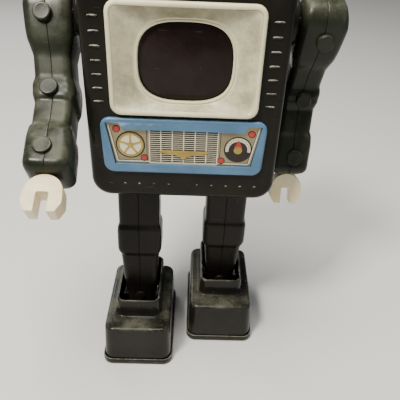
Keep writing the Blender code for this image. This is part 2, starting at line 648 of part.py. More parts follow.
def make_motor():
    low, high = crank_z - 9, screen_z - 2
    for name, at in (("front", front_plate_at), ("back", back_plate_at)):
        outline = [(a, (low + high) / 2 + b) for a, b in rounded(motor_half_width, (high - low) / 2, 5, 3)]
        plate = piece(f"motor_plate_{name}", prism(outline, at, at + motor_plate, "Y"), steel, robot)
        combine(plate, rod(arbor_radius + gap, at - 2, at + 4, "Y"), place=(0, 0, arbor_z))
        combine(plate, rod(shaft_radius + gap, at - 2, at + 4, "Y"), place=(0, 0, crank_z))
        for side in (-1, 1):
            combine(plate, rod(shaft_radius + gap, at - 2, at + 4, "Y"),
                    place=(side * (motor_half_width - 5), 0, high - 6))
    for name, side in (("left", 1), ("right", -1)):
        pillar = rod(shaft_radius, front_plate_at - 1, torso_back - tin - gap, "Y", 12)
        piece(f"motor_pillar_{name}", pillar, steel, robot, (side * (motor_half_width - 5), 0, high - 6))

    arbor = empty("winding_axis", (0, 0, arbor_z), parent=robot)
    piece("key_arbor", rod(arbor_radius, front_plate_at - 1, torso_back + 12, "Y"), steel, arbor)
    wheel = 20.6
    bore = arbor_radius + gap
    ratchet = []
    for tooth in range(14):
        turn = 2 * math.pi * tooth / 14
        ratchet += [(7.2 * math.cos(turn), 7.2 * math.sin(turn)),
                    (5.6 * math.cos(turn + 0.06), 5.6 * math.sin(turn + 0.06))]
    ratchet = piece("ratchet_wheel", prism(ratchet, wheel, wheel + 1.4, "Y"), brass, arbor)
    combine(ratchet, rod(bore, wheel - 2, wheel + 4, "Y"))

    key_start = torso_back + 3
    bow = [(a, b) for a, b in arc((key_wide / 2 - 10, 0), 10, -140, 140, 10)]
    bow += [(-a, -b) for a, b in bow]
    key = prism([(a, key_start + key_long - 10 + b) for a, b in bow], -key_thick / 2, key_thick / 2, "Z")
    key = piece("winding_key", key, bright_tin, arbor)
    combine(key, rod(arbor_radius + 2, key_start, key_start + key_long - 8, "Y"), "UNION")
    combine(key, rod(arbor_radius + gap, key_start - 2, torso_back + 12 + gap, "Y"))
    for side in (-1, 1):
        combine(key, rod(4.6, -3, 3, "Z"), place=(side * (key_wide / 2 - 10), key_start + key_long - 10, 0))

    great = empty("great_wheel_axis", (0, 0, arbor_z), parent=robot)
    outline = gear_outline(great_teeth, 270 + 180 / great_teeth)
    great_wheel = piece("great_wheel", prism(outline, 18, 19.8, "Y"), brass, great)
    combine(great_wheel, rod(bore, 16, 22, "Y"))
    click = empty("click_axis", (12.0, 0, 0), parent=great)
    pawl = piece("click", prism([(-1.6, -1.6), (1.6, -1.6), (1.8, 1.4), (-6.6, 6.9), (-7.6, 6.3), (-1.8, 1.4)],
                                wheel, wheel + 1.2, "Y"), steel, click)
    combine(pawl, rod(0.6, wheel - 2, wheel + 3, "Y", 10))

    turns = 4.25
    count = int(turns * 20)
    inner_side, outer_side = [], []
    for i in range(count + 1):
        turn = 2 * math.pi * turns * i / count
        radius = 3.6 + (21 - 3.6) * i / count
        inner_side.append((radius * math.cos(turn), radius * math.sin(turn)))
        outer_side.append(((radius + 0.7) * math.cos(turn), (radius + 0.7) * math.sin(turn)))
    strip = [(a, arbor_z + b) for a, b in inner_side + outer_side[::-1]]
    piece("mainspring", prism(strip, 23, 31, "Y"), steel, robot)


def make_drive():
    second = empty("contrate_axis", (0, 0, crank_z), parent=robot)
    shaft = piece("contrate_arbor", rod(shaft_radius, 8.5, back_plate_at + 3, "Y", 12), steel, second)
    pinion = prism(gear_outline(pinion_teeth, 90), 16.6, 21.2, "Y")
    combine(shaft, pinion, "UNION")
    radius = module * contrate_teeth / 2
    disc_at = contrate_pitch_at + 1.2
    contrate = piece("contrate_wheel", rod(radius + 0.8, disc_at, disc_at + 1.6, "Y", 48), brass, second)
    ring = bmesh.new()
    for tooth in range(contrate_teeth):
        turn = 2 * math.pi * (tooth + 0.5) / contrate_teeth
        one = prism([(-0.55, disc_at + 0.5), (-0.25, contrate_pitch_at - 0.8), (0.25, contrate_pitch_at - 0.8),
                     (0.55, disc_at + 0.5)], radius - 1.2, radius + 0.7, "Z")
        bmesh.ops.rotate(one, verts=one.verts, matrix=Matrix.Rotation(turn, 3, "Y"))
        mesh = bpy.data.meshes.new("tooth")
        one.to_mesh(mesh)
        one.free()
        ring.from_mesh(mesh)
        bpy.data.meshes.remove(mesh)
    combine(contrate, ring, "UNION")
    combine(contrate, rod(shaft_radius + gap, disc_at - 2, disc_at + 4, "Y", 12))

    crank = empty("crank_axis", (0, 0, crank_z), parent=robot)
    reach = crank_out + crank_thick
    shaft = piece("crank_shaft", rod(shaft_radius, -reach, reach, "X", 12), steel, crank)
    pinion = prism(gear_outline(crank_pinion_teeth, 0), radius - 1.6, radius + 1.2, "X")
    combine(shaft, pinion, "UNION")
    belt_x = -belt_out
    combine(shaft, rod(pulley_radius - belt_thick / 2 - gap, belt_x - 0.8, belt_x + 0.8, "X", 20), "UNION")
    for name, side in (("left", 1), ("right", -1)):
        low, high = sorted((side * crank_out, side * (crank_out + crank_thick)))
        disc = piece(f"crank_{name}", rod(crank_disc_radius, low, high, "X", 20), steel, crank)
        combine(disc, rod(shaft_radius + gap, low - 2, high + 2, "X", 12))
        low, high = sorted((side * (crank_out + crank_thick / 2), side * (reach + crank_pin_long)))
        combine(disc, rod(1.2, low, high, "X", 10), "UNION", (0, -side * (crank_throw + 2), 0))

    half_in = 8.0
    sheet, low = 1.2, torso_low + tin + gap
    base = block((-half_in - sheet, -6, low), (half_in + sheet, 3.4, low + sheet))
    bracket = piece("crank_bracket", base, steel, robot)
    for side in (-1, 1):
        low_x, high_x = sorted((side * half_in, side * (half_in + sheet)))
        combine(bracket, block((low_x, -6, low), (high_x, 3.4, crank_z + 5)), "UNION")
    combine(bracket, rod(shaft_radius + gap, -20, 20, "X"), place=(0, 0, crank_z))
    combine(bracket, rod(axle_radius + gap, -20, 20, "X"), place=(0, 0, hip_height))
    reach = leg_apart + leg_wide / 2 + 4
    piece("hip_axle", rod(axle_radius, -reach, reach, "X"), steel, robot, (0, 0, hip_height))


def make_drum():
    axis = empty("drum_axis", (0, drum_forward, screen_z), parent=robot)
    wall, hub = 1.0, 2.4
    low, high = -belt_out - 1.2, -belt_out + 1.2
    bed = groove_radius - belt_thick / 2 - gap
    profile = [(drum_radius, drum_half), (drum_radius, high), (bed, high), (bed, low), (drum_radius, low),
               (drum_radius, -drum_half), (hub, -drum_half), (hub, -drum_half + wall),
               (bed - wall, -drum_half + wall), (bed - wall, drum_half - wall),
               (drum_radius - wall, drum_half - wall), (drum_radius - wall, drum_half)]
    turned("picture_drum", profile, print_strip, axis, (0, 0, 0), "X", 32)
    arm_in = drum_half + 4
    back = 11.0
    sheet = block((-arm_in - 1.2, back, screen_z - 18), (arm_in + 1.2, back + 1.2, screen_z + 18))
    bracket = piece("drum_bracket", sheet, steel, robot)
    for side in (-1, 1):
        low_x, high_x = sorted((side * arm_in, side * (arm_in + 1.2)))
        ear = block((low_x, drum_forward - 6, screen_z - 6), (high_x, back + 1, screen_z + 6))
        combine(bracket, ear, "UNION")
    combine(bracket, rod(2.0, -arm_in - 3, arm_in + 3, "X", 12), "UNION", (0, drum_forward, screen_z))

    rise, run = screen_z - crank_z, -drum_forward
    length = math.hypot(rise, run)
    lean = math.degrees(math.atan2(run, rise))
    grip = math.degrees(math.asin((groove_radius - pulley_radius) / length))
    loops = []
    for grow in (belt_thick / 2, -belt_thick / 2):
        top = arc((drum_forward, screen_z), groove_radius + grow, lean - grip, lean + 180 + grip, 16)
        low = arc((0, crank_z), pulley_radius + grow, lean + 180 + grip, lean + 360 - grip, 8)
        loops.append(top + low)
    half = belt_wide / 2
    rings = [[(-belt_out + half, a, b) for a, b in loops[0]], [(-belt_out - half, a, b) for a, b in loops[0]],
             [(-belt_out - half, a, b) for a, b in loops[1]], [(-belt_out + half, a, b) for a, b in loops[1]]]
    piece("drive_belt", outward(loft(rings + rings[:1])), rubber, robot)


def make_stop_lever():
    pivot = empty("stop_lever_axis", (22, 0, arbor_z - 20), parent=robot)
    at = back_plate_at + motor_plate + gap
    lever = piece("stop_lever", prism([(-3, -18), (3, -18), (3, 4), (-3, 4)], at, at + 1.2, "Y"), steel, pivot)
    combine(lever, block((-1.5, at + 0.6, -17.5), (1.5, torso_back + 7, -15)), "UNION")
    combine(lever, rod(1.2, at - 1, at + 3, "Y", 10))


make_torso()
make_screen()
make_panel()
make_head()
make_leg("left", 1, walk_swing)
make_leg("right", -1, -walk_swing)
make_arm("left", 1, left_arm_rest)
make_arm("right", -1, right_arm_rest)
make_motor()
make_drive()
make_drum()
make_stop_lever()
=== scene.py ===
import json
import math

import bmesh
import bpy
from mathutils import Matrix, Vector


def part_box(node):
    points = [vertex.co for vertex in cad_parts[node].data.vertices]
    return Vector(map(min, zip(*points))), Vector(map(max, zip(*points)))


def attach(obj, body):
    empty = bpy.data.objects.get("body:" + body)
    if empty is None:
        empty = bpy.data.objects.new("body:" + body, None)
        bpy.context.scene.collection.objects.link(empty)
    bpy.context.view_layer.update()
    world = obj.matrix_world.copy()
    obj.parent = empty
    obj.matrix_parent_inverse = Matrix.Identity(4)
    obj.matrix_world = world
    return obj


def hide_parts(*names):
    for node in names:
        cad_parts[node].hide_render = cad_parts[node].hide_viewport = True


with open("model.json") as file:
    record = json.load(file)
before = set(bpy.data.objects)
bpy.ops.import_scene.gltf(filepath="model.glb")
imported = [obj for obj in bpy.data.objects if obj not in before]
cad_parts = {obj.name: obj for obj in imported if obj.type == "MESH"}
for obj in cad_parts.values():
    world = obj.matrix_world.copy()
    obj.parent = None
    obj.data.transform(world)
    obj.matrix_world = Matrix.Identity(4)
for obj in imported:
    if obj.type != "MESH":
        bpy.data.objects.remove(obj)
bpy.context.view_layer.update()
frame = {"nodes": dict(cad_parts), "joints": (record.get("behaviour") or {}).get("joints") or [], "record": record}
print("frame loaded:", len(frame["nodes"]), "nodes")

mm = 0.001
gap = 0.3
jointAt = {joint["name"]: Vector(joint["pos_m"]) / mm for joint in frame["joints"]}
jointAxis = {joint["name"]: Vector(joint["axis"]) for joint in frame["joints"]}


def nodeBox(node):  # a CAD node's lowest and highest corners, in millimetres
    low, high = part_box(node)
    return low / mm, high / mm


def intoScene(name, data):
    obj = bpy.data.objects.new(name, data)
    bpy.context.scene.collection.objects.link(obj)
    return obj


# camera, light and floor

lookFrom = dict(x=5.36, y=-326.3, z=354.2, lens=43.99, yaw=1.437, pitch=32.852, roll=2.549)
studio = dict(sky=(0.80, 0.84, 0.90), skyStrength=0.22, floor=(0.66, 0.65, 0.63), floorRough=0.7)


def makeCamera():
    data = bpy.data.cameras.new("camera")
    data.sensor_width = 36
    data.lens = lookFrom["lens"]
    data.clip_start = 0.01
    camera = intoScene("camera", data)
    turn = Matrix.Rotation(math.radians(-lookFrom["yaw"]), 4, "Z")
    turn = turn @ Matrix.Rotation(math.radians(90 - lookFrom["pitch"]), 4, "X")
    turn = turn @ Matrix.Rotation(math.radians(lookFrom["roll"]), 4, "Z")
    place = Vector((lookFrom["x"], lookFrom["y"], lookFrom["z"])) * mm
    camera.matrix_world = Matrix.Translation(place) @ turn
    bpy.context.scene.camera = camera


def makeLight(name, place, aim, power, size, colour=(1, 1, 1)):
    data = bpy.data.lights.new(name, "AREA")
    data.energy = power
    data.size = size
    data.color = colour
    light = intoScene(name, data)
    light.location = place
    light.rotation_euler = (Vector(aim) - Vector(place)).to_track_quat("-Z", "Y").to_euler()


def makeStudio():
    makeLight("keyLight", (-0.55, -0.62, 1.35), (0, 0, 0.2), 27, 0.26, (1.0, 0.95, 0.85))
    makeLight("topLight", (-0.12, -0.10, 1.45), (-0.05, 0, 0.2), 22, 0.6, (1.0, 0.96, 0.88))
    makeLight("fillLight", (1.25, -0.7, 0.75), (0, 0, 0.2), 2.5, 0.7, (0.9, 0.95, 1.0))
    makeLight("backLight", (-0.7, 1.2, 0.9), (0, 0, 0.2), 6, 0.6)
    world = bpy.data.worlds.new("studio")
    bpy.context.scene.world = world
    world.use_nodes = True
    setValues(world.node_tree.nodes["Background"], Color=(*studio["sky"], 1), Strength=studio["skyStrength"])


# shader groups

def newGroup(name, inputs, outputs):  # every socket holds one number
    group = bpy.data.node_groups.new(name, "ShaderNodeTree")
    for socket, value in inputs.items():
        group.interface.new_socket(name=socket, in_out="INPUT",
            socket_type="NodeSocketFloat").default_value = value
    for socket in outputs:
        group.interface.new_socket(name=socket, in_out="OUTPUT", socket_type="NodeSocketFloat")
    return group, group.nodes.new("NodeGroupInput"), group.nodes.new("NodeGroupOutput")


def setValues(node, **values):  # an underscore stands for a space in the socket's name
    for socket, value in values.items():
        node.inputs[socket.replace("_", " ")].default_value = value
    return node


def mathNode(tree, operation, first, second=None, clamp=False):
    node = tree.nodes.new("ShaderNodeMath")
    node.operation = operation
    node.use_clamp = clamp
    for socket, value in ((node.inputs[0], first), (node.inputs[1], second)):
        if isinstance(value, bpy.types.NodeSocket):
            tree.links.new(value, socket)
        elif value is not None:
            socket.default_value = value
    return node.outputs[0]


def times(tree, first, second, clamp=False):
    return mathNode(tree, "MULTIPLY", first, second, clamp)


def objectPlace(tree):
    return tree.nodes.new("ShaderNodeTexCoord").outputs["Object"]


def noiseNode(tree, place, scale, detail=4, roughness=0.55):
    node = setValues(tree.nodes.new("ShaderNodeTexNoise"), Detail=detail, Roughness=roughness)
    tree.links.new(place, node.inputs["Vector"])
    if isinstance(scale, bpy.types.NodeSocket):
        tree.links.new(scale, node.inputs["Scale"])
    else:
        node.inputs["Scale"].default_value = scale
    return node.outputs["Fac"]


def rampNode(tree, value, low, high, lowOut=0.0, highOut=1.0):
    node = tree.nodes.new("ShaderNodeMapRange")
    node.interpolation_type = "SMOOTHSTEP"
    for socket, amount in (("Value", value), ("From Min", low), ("From Max", high), ("To Min", lowOut),
            ("To Max", highOut)):
        if isinstance(amount, bpy.types.NodeSocket):
            tree.links.new(amount, node.inputs[socket])
        else:
            node.inputs[socket].default_value = amount
    return node.outputs["Result"]


def makeEdgeWearAndHighlight():  # paint rubbed off the corners, broken up by noise; on the shoes and the pressed ridges the pale edge also stands as painted highlight
    group, inside, outside = newGroup("edgeWear", {"Start": 0.54, "Width": 0.06, "Break Up": 180}, ["Mask"])
    place = objectPlace(group)
    bend = group.nodes.new("ShaderNodeNewGeometry").outputs["Pointiness"]
    noise = noiseNode(group, place, inside.outputs["Break Up"], 5, 0.65)
    moved = mathNode(group, "ADD", bend, times(group, mathNode(group, "SUBTRACT", noise, 0.5), 0.14))
    top = mathNode(group, "ADD", inside.outputs["Start"], inside.outputs["Width"])
    group.links.new(rampNode(group, moved, inside.outputs["Start"], top), outside.inputs["Mask"])
    return group


def makeDustAndHighlight():  # dust that lies on what faces up, in patches; on the pressed ridges its pale colour is painted highlight on their tops
    group, inside, outside = newGroup("settledDust", {"Amount": 0.5, "Scale": 40}, ["Mask", "Specks"])
    place = objectPlace(group)
    split = group.nodes.new("ShaderNodeSeparateXYZ")
    group.links.new(group.nodes.new("ShaderNodeNewGeometry").outputs["Normal"], split.inputs[0])
    facing = rampNode(group, split.outputs["Z"], 0.1, 0.95, 0.03, 1.0)
    cloud = rampNode(group, noiseNode(group, place, inside.outputs["Scale"], 6, 0.7), 0.38, 0.68)
    mask = times(group, times(group, facing, cloud), inside.outputs["Amount"], True)
    group.links.new(mask, outside.inputs["Mask"])
    fine = times(group, inside.outputs["Scale"], 34)
    specks = rampNode(group, noiseNode(group, place, fine, 2, 0.5), 0.69, 0.74)
    specks = times(group, specks, times(group, facing, inside.outputs["Amount"]), True)
    group.links.new(specks, outside.inputs["Specks"])
    return group


def makeScratches():  # fine lines in three directions
    group, inside, outside = newGroup("fineScratches", {"Scale": 90, "Amount": 0.5}, ["Mask"])
    place = objectPlace(group)
    total = None
    ways = ((0.3, 0.5, 0.2), (1, 0.03, 1)), ((1.1, 0.2, 0.9), (0.03, 1, 1)), ((0.6, 1.3, 2.1), (1, 1, 0.03))
    for turn, stretch in ways:
        mapping = setValues(group.nodes.new("ShaderNodeMapping"), Rotation=turn, Scale=stretch)
        group.links.new(place, mapping.inputs["Vector"])
        line = rampNode(group, noiseNode(group, mapping.outputs[0],
            times(group, inside.outputs["Scale"], 12), 2), 0.70, 0.75)
        total = line if total is None else mathNode(group, "MAXIMUM", total, line)
    patch = rampNode(group, noiseNode(group, place, inside.outputs["Scale"], 2), 0.45, 0.6)
    mask = times(group, times(group, total, patch), inside.outputs["Amount"], True)
    group.links.new(mask, outside.inputs["Mask"])
    return group


def makeSurface():  # the small waviness and grain of a moulded or lacquered surface
    group, inside, outside = newGroup("surfaceHeight", {"Wave Scale": 60, "Grain Scale": 900, "Wave": 1.0,
        "Grain": 0.2}, ["Height", "Blotch"])
    place = objectPlace(group)
    wave = noiseNode(group, place, inside.outputs["Wave Scale"], 2, 0.4)
    grain = noiseNode(group, place, inside.outputs["Grain Scale"], 2, 0.5)
    height = mathNode(group, "ADD", times(group, wave, inside.outputs["Wave"]),
        times(group, grain, inside.outputs["Grain"]))
    group.links.new(height, outside.inputs["Height"])
    blotch = noiseNode(group, place, times(group, inside.outputs["Wave Scale"], 0.6), 6, 0.65)
    group.links.new(rampNode(group, blotch, 0.3, 0.7), outside.inputs["Blotch"])
    return group


groups = {"wear": makeEdgeWearAndHighlight(), "dust": makeDustAndHighlight(), "scratch": makeScratches(), "surface": makeSurface()}


# materials: each finish is one dictionary

plainLook = dict(colour=(0.5, 0.5, 0.5), second=None, rough=0.35, roughSpread=0.12, metal=0.0, dust=0.25,
    dustScale=40, dustColour=(0.30, 0.28, 0.22), wear=0.0, wearStart=0.56, wearWidth=0.05,
    wearColour=(0.5, 0.47, 0.4), scratch=0.3, scratchScale=60, scratchColour=None, gloss=0.5, wave=1.0,
    waveScale=60, grain=0.2, grainScale=900, bump=0.06)
looks = {
    "darkLacquer": dict(gloss=0.13, colour=(0.0075, 0.0068, 0.0055), second=(0.013, 0.0115, 0.0085),
        rough=0.14, dust=0.16, dustColour=(0.14, 0.13, 0.095), wear=0.5, wearStart=0.555, wearWidth=0.06,
        wearColour=(0.30, 0.27, 0.20), scratchColour=(0.10, 0.095, 0.075), scratch=0.45),
    # shoes: the pale rubbed edges along the collar rims and the tier's top edge are partly wear and partly painted
    # highlight
    "shoeLacquer": dict(gloss=0.2, colour=(0.007, 0.0065, 0.0052), second=(0.014, 0.0135, 0.010), rough=0.12,
        dust=0.62, dustScale=24, dustColour=(0.15, 0.15, 0.105), wear=0.75, wearStart=0.545, wearWidth=0.06,
        wearColour=(0.30, 0.29, 0.24), scratch=0.7, scratchColour=(0.14, 0.13, 0.10)),
    "darkPlastic": dict(gloss=0.19, colour=(0.0125, 0.0145, 0.0095), second=(0.021, 0.024, 0.0155),
        rough=0.22, roughSpread=0.16, dust=0.40, dustScale=60, dustColour=(0.15, 0.155, 0.105), wear=0.35,
        wearStart=0.57, wearWidth=0.08, wearColour=(0.20, 0.19, 0.14), scratch=0.6,
        scratchColour=(0.12, 0.115, 0.085), wave=2.0, waveScale=45, bump=0.09),
    "legPlastic": dict(gloss=0.14, colour=(0.008, 0.0066, 0.0058), second=(0.014, 0.0115, 0.0095),
        rough=0.26, roughSpread=0.16, dust=0.15, dustScale=70, dustColour=(0.13, 0.12, 0.09), wear=0.25,
        wearStart=0.58, wearColour=(0.16, 0.14, 0.11), scratch=0.45, scratchColour=(0.09, 0.08, 0.06),
        wave=2.0, waveScale=45, bump=0.09),
    "creamPlastic": dict(colour=(0.86, 0.78, 0.54), second=(0.76, 0.63, 0.36), rough=0.34, dust=0.35,
        dustColour=(0.42, 0.33, 0.18), wear=0.4, wearColour=(0.88, 0.84, 0.70), scratch=0.4,
        scratchColour=(0.45, 0.36, 0.22), wave=1.5, bump=0.10),
    "creamPaint": dict(colour=(0.80, 0.75, 0.50), second=(0.68, 0.63, 0.40), rough=0.28, dust=0.35,
        dustScale=90, dustColour=(0.30, 0.27, 0.19), wear=0.35, wearStart=0.57,
        wearColour=(0.34, 0.31, 0.24), scratch=0.5, scratchColour=(0.36, 0.33, 0.25), bump=0.08),
    "bluePaint": dict(colour=(0.075, 0.18, 0.31), second=(0.055, 0.135, 0.24), rough=0.30, dust=0.2,
        dustColour=(0.26, 0.29, 0.29), wear=0.5, wearStart=0.57, wearColour=(0.42, 0.55, 0.66), scratch=0.5,
        scratchColour=(0.10, 0.14, 0.18), bump=0.06),
    "printedTin": dict(colour=(0.30, 0.255, 0.155), second=(0.23, 0.195, 0.115), rough=0.42, metal=0.35,
        dust=0.2, dustColour=(0.22, 0.19, 0.13), scratch=0.4, scratchColour=(0.25, 0.22, 0.15)),
    "printWhite": dict(colour=(0.76, 0.71, 0.53), second=(0.62, 0.57, 0.41), rough=0.4, scratch=0.4,
        scratchColour=(0.3, 0.26, 0.18)),
    "printBlack": dict(gloss=0.3, colour=(0.014, 0.010, 0.009), second=(0.026, 0.020, 0.016), rough=0.35,
        scratch=0.4, scratchColour=(0.3, 0.27, 0.2)),
    "printGold": dict(colour=(0.44, 0.32, 0.085), second=(0.28, 0.19, 0.045), rough=0.3, metal=0.5,
        dustColour=(0.14, 0.11, 0.04), dust=0.4),
    "printRed": dict(colour=(0.42, 0.03, 0.022), second=(0.30, 0.02, 0.016), rough=0.3),
    "brightTin": dict(colour=(0.62, 0.60, 0.55), second=(0.46, 0.43, 0.36), rough=0.28, metal=1.0,
        dustColour=(0.20, 0.15, 0.09), dust=0.4, scratch=0.7, scratchColour=(0.35, 0.33, 0.3)),
    "plainSteel": dict(colour=(0.42, 0.42, 0.43), second=(0.30, 0.27, 0.23), rough=0.34, metal=1.0,
        dustColour=(0.18, 0.11, 0.06), dust=0.5, scratch=0.8, scratchColour=(0.6, 0.6, 0.6)),
    "stampedBrass": dict(colour=(0.62, 0.46, 0.20), second=(0.42, 0.29, 0.12), rough=0.33, metal=1.0,
        dustColour=(0.16, 0.11, 0.05), dust=0.4, scratch=0.7, scratchColour=(0.75, 0.6, 0.3)),
    "blackRubber": dict(colour=(0.025, 0.025, 0.025), second=(0.05, 0.05, 0.048), rough=0.72, dust=0.6,
        dustColour=(0.16, 0.15, 0.13), grain=1.0, bump=0.15),
    "paperStrip": dict(colour=(0.36, 0.31, 0.24), second=(0.10, 0.08, 0.07), rough=0.6, waveScale=28),
}


def mixColour(tree, mask, first, second):
    node = tree.nodes.new("ShaderNodeMix")
    node.data_type = "RGBA"
    for socket, value in ((node.inputs[0], mask), (node.inputs[6], first), (node.inputs[7], second)):
        if isinstance(value, bpy.types.NodeSocket):
            tree.links.new(value, socket)
        elif isinstance(value, tuple):
            socket.default_value = (*value, 1)
        else:
            socket.default_value = value
    return node.outputs[2]


def useGroup(tree, name, **values):
    node = tree.nodes.new("ShaderNodeGroup")
    node.node_tree = groups[name]
    return setValues(node, **values)


def makeFinish(name, extra=None):
    look = {**plainLook, **looks[name]}
    material = bpy.data.materials.new(name)
    material.use_nodes = True
    tree = material.node_tree
    shader = tree.nodes["Principled BSDF"]
    surface = useGroup(tree, "surface", Wave_Scale=look["waveScale"], Grain_Scale=look["grainScale"],
        Wave=look["wave"], Grain=look["grain"])
    dust = useGroup(tree, "dust", Amount=look["dust"], Scale=look["dustScale"])
    scratch = useGroup(tree, "scratch", Scale=look["scratchScale"], Amount=look["scratch"])
    base = mixColour(tree, surface.outputs["Blotch"], look["colour"], look["second"] or look["colour"])
    if extra:
        base = extra(tree, base)
    base = mixColour(tree, dust.outputs["Mask"], base, look["dustColour"])
    speck = tuple(min(1.0, c * 1.9) for c in look["dustColour"])
    base = mixColour(tree, dust.outputs["Specks"], base, speck)
    base = mixColour(tree, scratch.outputs["Mask"], base, look["scratchColour"] or look["dustColour"])
    if look["wear"]:
        wear = useGroup(tree, "wear", Start=look["wearStart"], Width=look["wearWidth"])
        mask = times(tree, wear.outputs["Mask"], look["wear"])
        base = mixColour(tree, mask, base, look["wearColour"])
    tree.links.new(base, shader.inputs["Base Color"])
    setValues(shader, Metallic=look["metal"], Specular_IOR_Level=look["gloss"])
    rough = rampNode(tree, surface.outputs["Blotch"], 0, 1, look["rough"],
        look["rough"] + look["roughSpread"])
    rough = mathNode(tree, "ADD", rough, times(tree, dust.outputs["Mask"], 0.45))
    rough = mathNode(tree, "ADD", rough, times(tree, scratch.outputs["Mask"], 0.2), True)
    tree.links.new(rough, shader.inputs["Roughness"])
    bump = setValues(tree.nodes.new("ShaderNodeBump"), Strength=look["bump"], Distance=0.0008)
    height = mathNode(tree, "SUBTRACT", surface.outputs["Height"], times(tree, scratch.outputs["Mask"], 0.4))
    tree.links.new(height, bump.inputs["Height"])
    tree.links.new(bump.outputs["Normal"], shader.inputs["Normal"])
    return material


# dirt lies in patches on the flat faces and is kept off the creases and rims, which stay pale as painted
# highlight; faces that look down get painted shade
def funnelDirtAndShade(tree, base):
    shape = tree.nodes.new("ShaderNodeNewGeometry")
    place = objectPlace(tree)
    bend = mathNode(tree, "ABSOLUTE", mathNode(tree, "SUBTRACT", shape.outputs["Pointiness"], 0.5))
    # the flat faces take patchy dirt, while creases and rims stay clean and pale: real dirt, with painted
    # highlight along the creases
    flat = rampNode(tree, bend, 0.004, 0.03, 1.0, 0.0)
    cloud = rampNode(tree, noiseNode(tree, place, 55, 7, 0.75), 0.34, 0.70, 0.22, 0.85)
    base = mixColour(tree, times(tree, flat, cloud), base, (0.26, 0.245, 0.16))
    split = tree.nodes.new("ShaderNodeSeparateXYZ")
    tree.links.new(shape.outputs["Normal"], split.inputs[0])
    # painted shade: faces that look down get a dark brown, as if shaded from the lamps above
    under = rampNode(tree, split.outputs["Z"], -0.25, -0.7, 0.0, 0.72)
    paintedUnderShade = times(tree, under, rampNode(tree, noiseNode(tree, place, 120, 6, 0.7), 0.3, 0.65, 0.7, 1.0))
    base = mixColour(tree, times(tree, paintedUnderShade, flat), base, (0.10, 0.078, 0.05))
    specks = rampNode(tree, noiseNode(tree, place, 1500, 2, 0.5), 0.68, 0.75, 0.0, 0.5)
    return mixColour(tree, times(tree, specks, cloud), base, (0.12, 0.10, 0.06))


def plateDirt(tree, base):
    place = objectPlace(tree)
    spots = rampNode(tree, noiseNode(tree, place, 900, 3, 0.6), 0.58, 0.70, 0.0, 0.7)
    patch = rampNode(tree, noiseNode(tree, place, 160, 5, 0.7), 0.35, 0.65)
    return mixColour(tree, times(tree, spots, patch), base, (0.09, 0.065, 0.035))


looks["smokedLens"] = dict(gloss=0.16, colour=(0.010, 0.0058, 0.0052), second=(0.021, 0.0125, 0.0105),
    rough=0.12, dust=0.35, dustScale=30, dustColour=(0.07, 0.055, 0.045), scratch=0.35,
    scratchColour=(0.12, 0.10, 0.09), bump=0.03)
# louvres and pips: the pale colour the dust mask lays on their up-facing tops is painted highlight over a little
# dust, and their pale rubbed edges are partly wear, partly painted highlight
looks["wornRidge"] = {**looks["darkLacquer"], "dust": 0.9, "dustScale": 300,
    "dustColour": (0.52, 0.49, 0.40), "wear": 0.6, "wearStart": 0.58, "wearColour": (0.45, 0.42, 0.34)}
extras = {"creamPaint": funnelDirtAndShade, "printedTin": plateDirt, "printWhite": plateDirt}
finishes = {name: makeFinish(name, extras.get(name)) for name in looks}
print("finishes made:", len(finishes))


# mesh helpers, all in millimetres until a piece is kept

def rounded(halfA, halfB, radius, steps=6):
    points = []
    for corner in range(4):
        signA, signB = (1 if corner in (0, 3) else -1), (1 if corner in (0, 1) else -1)
        for step in range(steps + 1):
            angle = math.pi / 2 * (corner + step / steps)
            points.append(((halfA - radius) * signA + radius * math.cos(angle),
                (halfB - radius) * signB + radius * math.sin(angle)))
    return points


def arc(centre, radius, start, end, steps):
    turns = [math.radians(start + (end - start) * i / steps) for i in range(steps + 1)]
    return [(centre[0] + radius * math.cos(t), centre[1] + radius * math.sin(t)) for t in turns]


def loft(rings, closed=True, capStart=False, capEnd=False):
    bm = bmesh.new()
    rows = [[bm.verts.new(Vector(point) * mm) for point in ring] for ring in rings]
    for first, second in zip(rows, rows[1:]):
        count = len(first)
        for i in range(count if closed else count - 1):
            j = (i + 1) % count
            bm.faces.new((first[i], first[j], second[j], second[i]))
    if capStart:
        bm.faces.new(rows[0][::-1])
    if capEnd:
        bm.faces.new(rows[-1])
    return bm


def turnedRings(profile, centre, axis, sides=32):  # rings of a (radius, along) profile about an axis
    axis = Vector(axis).normalized()
    across = axis.orthogonal().normalized()
    other = axis.cross(across)
    rings = []
    for radius, along in profile:
        if radius < 0.05:  # the cap of the ring before it closes the middle
            continue
        ring = []
        for i in range(sides):
            turn = 2 * math.pi * i / sides
            out = across * math.cos(turn) + other * math.sin(turn)
            ring.append(Vector(centre) + axis * along + out * radius)
        rings.append(ring)
    return rings


def turned(profile, centre, axis, sides=32):  # a profile turned into a closed shape
    return loft(turnedRings(profile, centre, axis, sides), capStart=True, capEnd=True)


def loopTurned(profile, centre, axis, sides=48):  # a closed profile turned into a ring
    rings = turnedRings(profile, centre, axis, sides)
    return loft(rings + rings[:1])


def join(bm, other):
    bmesh.ops.recalc_face_normals(other, faces=other.faces)
    mesh = bpy.data.meshes.new("joined")
    other.to_mesh(mesh)
    other.free()
    bm.from_mesh(mesh)
    bpy.data.meshes.remove(mesh)
    return bm


def prism(outline, start, end, axis="Y"):
    orders = {"X": lambda a, b, t: (t, a, b), "Y": lambda a, b, t: (a, t, b), "Z": lambda a, b, t: (a, b, t)}
    rings = [[orders[axis](a, b, t) for a, b in outline] for t in (start, end)]
    return loft(rings, capStart=True, capEnd=True)


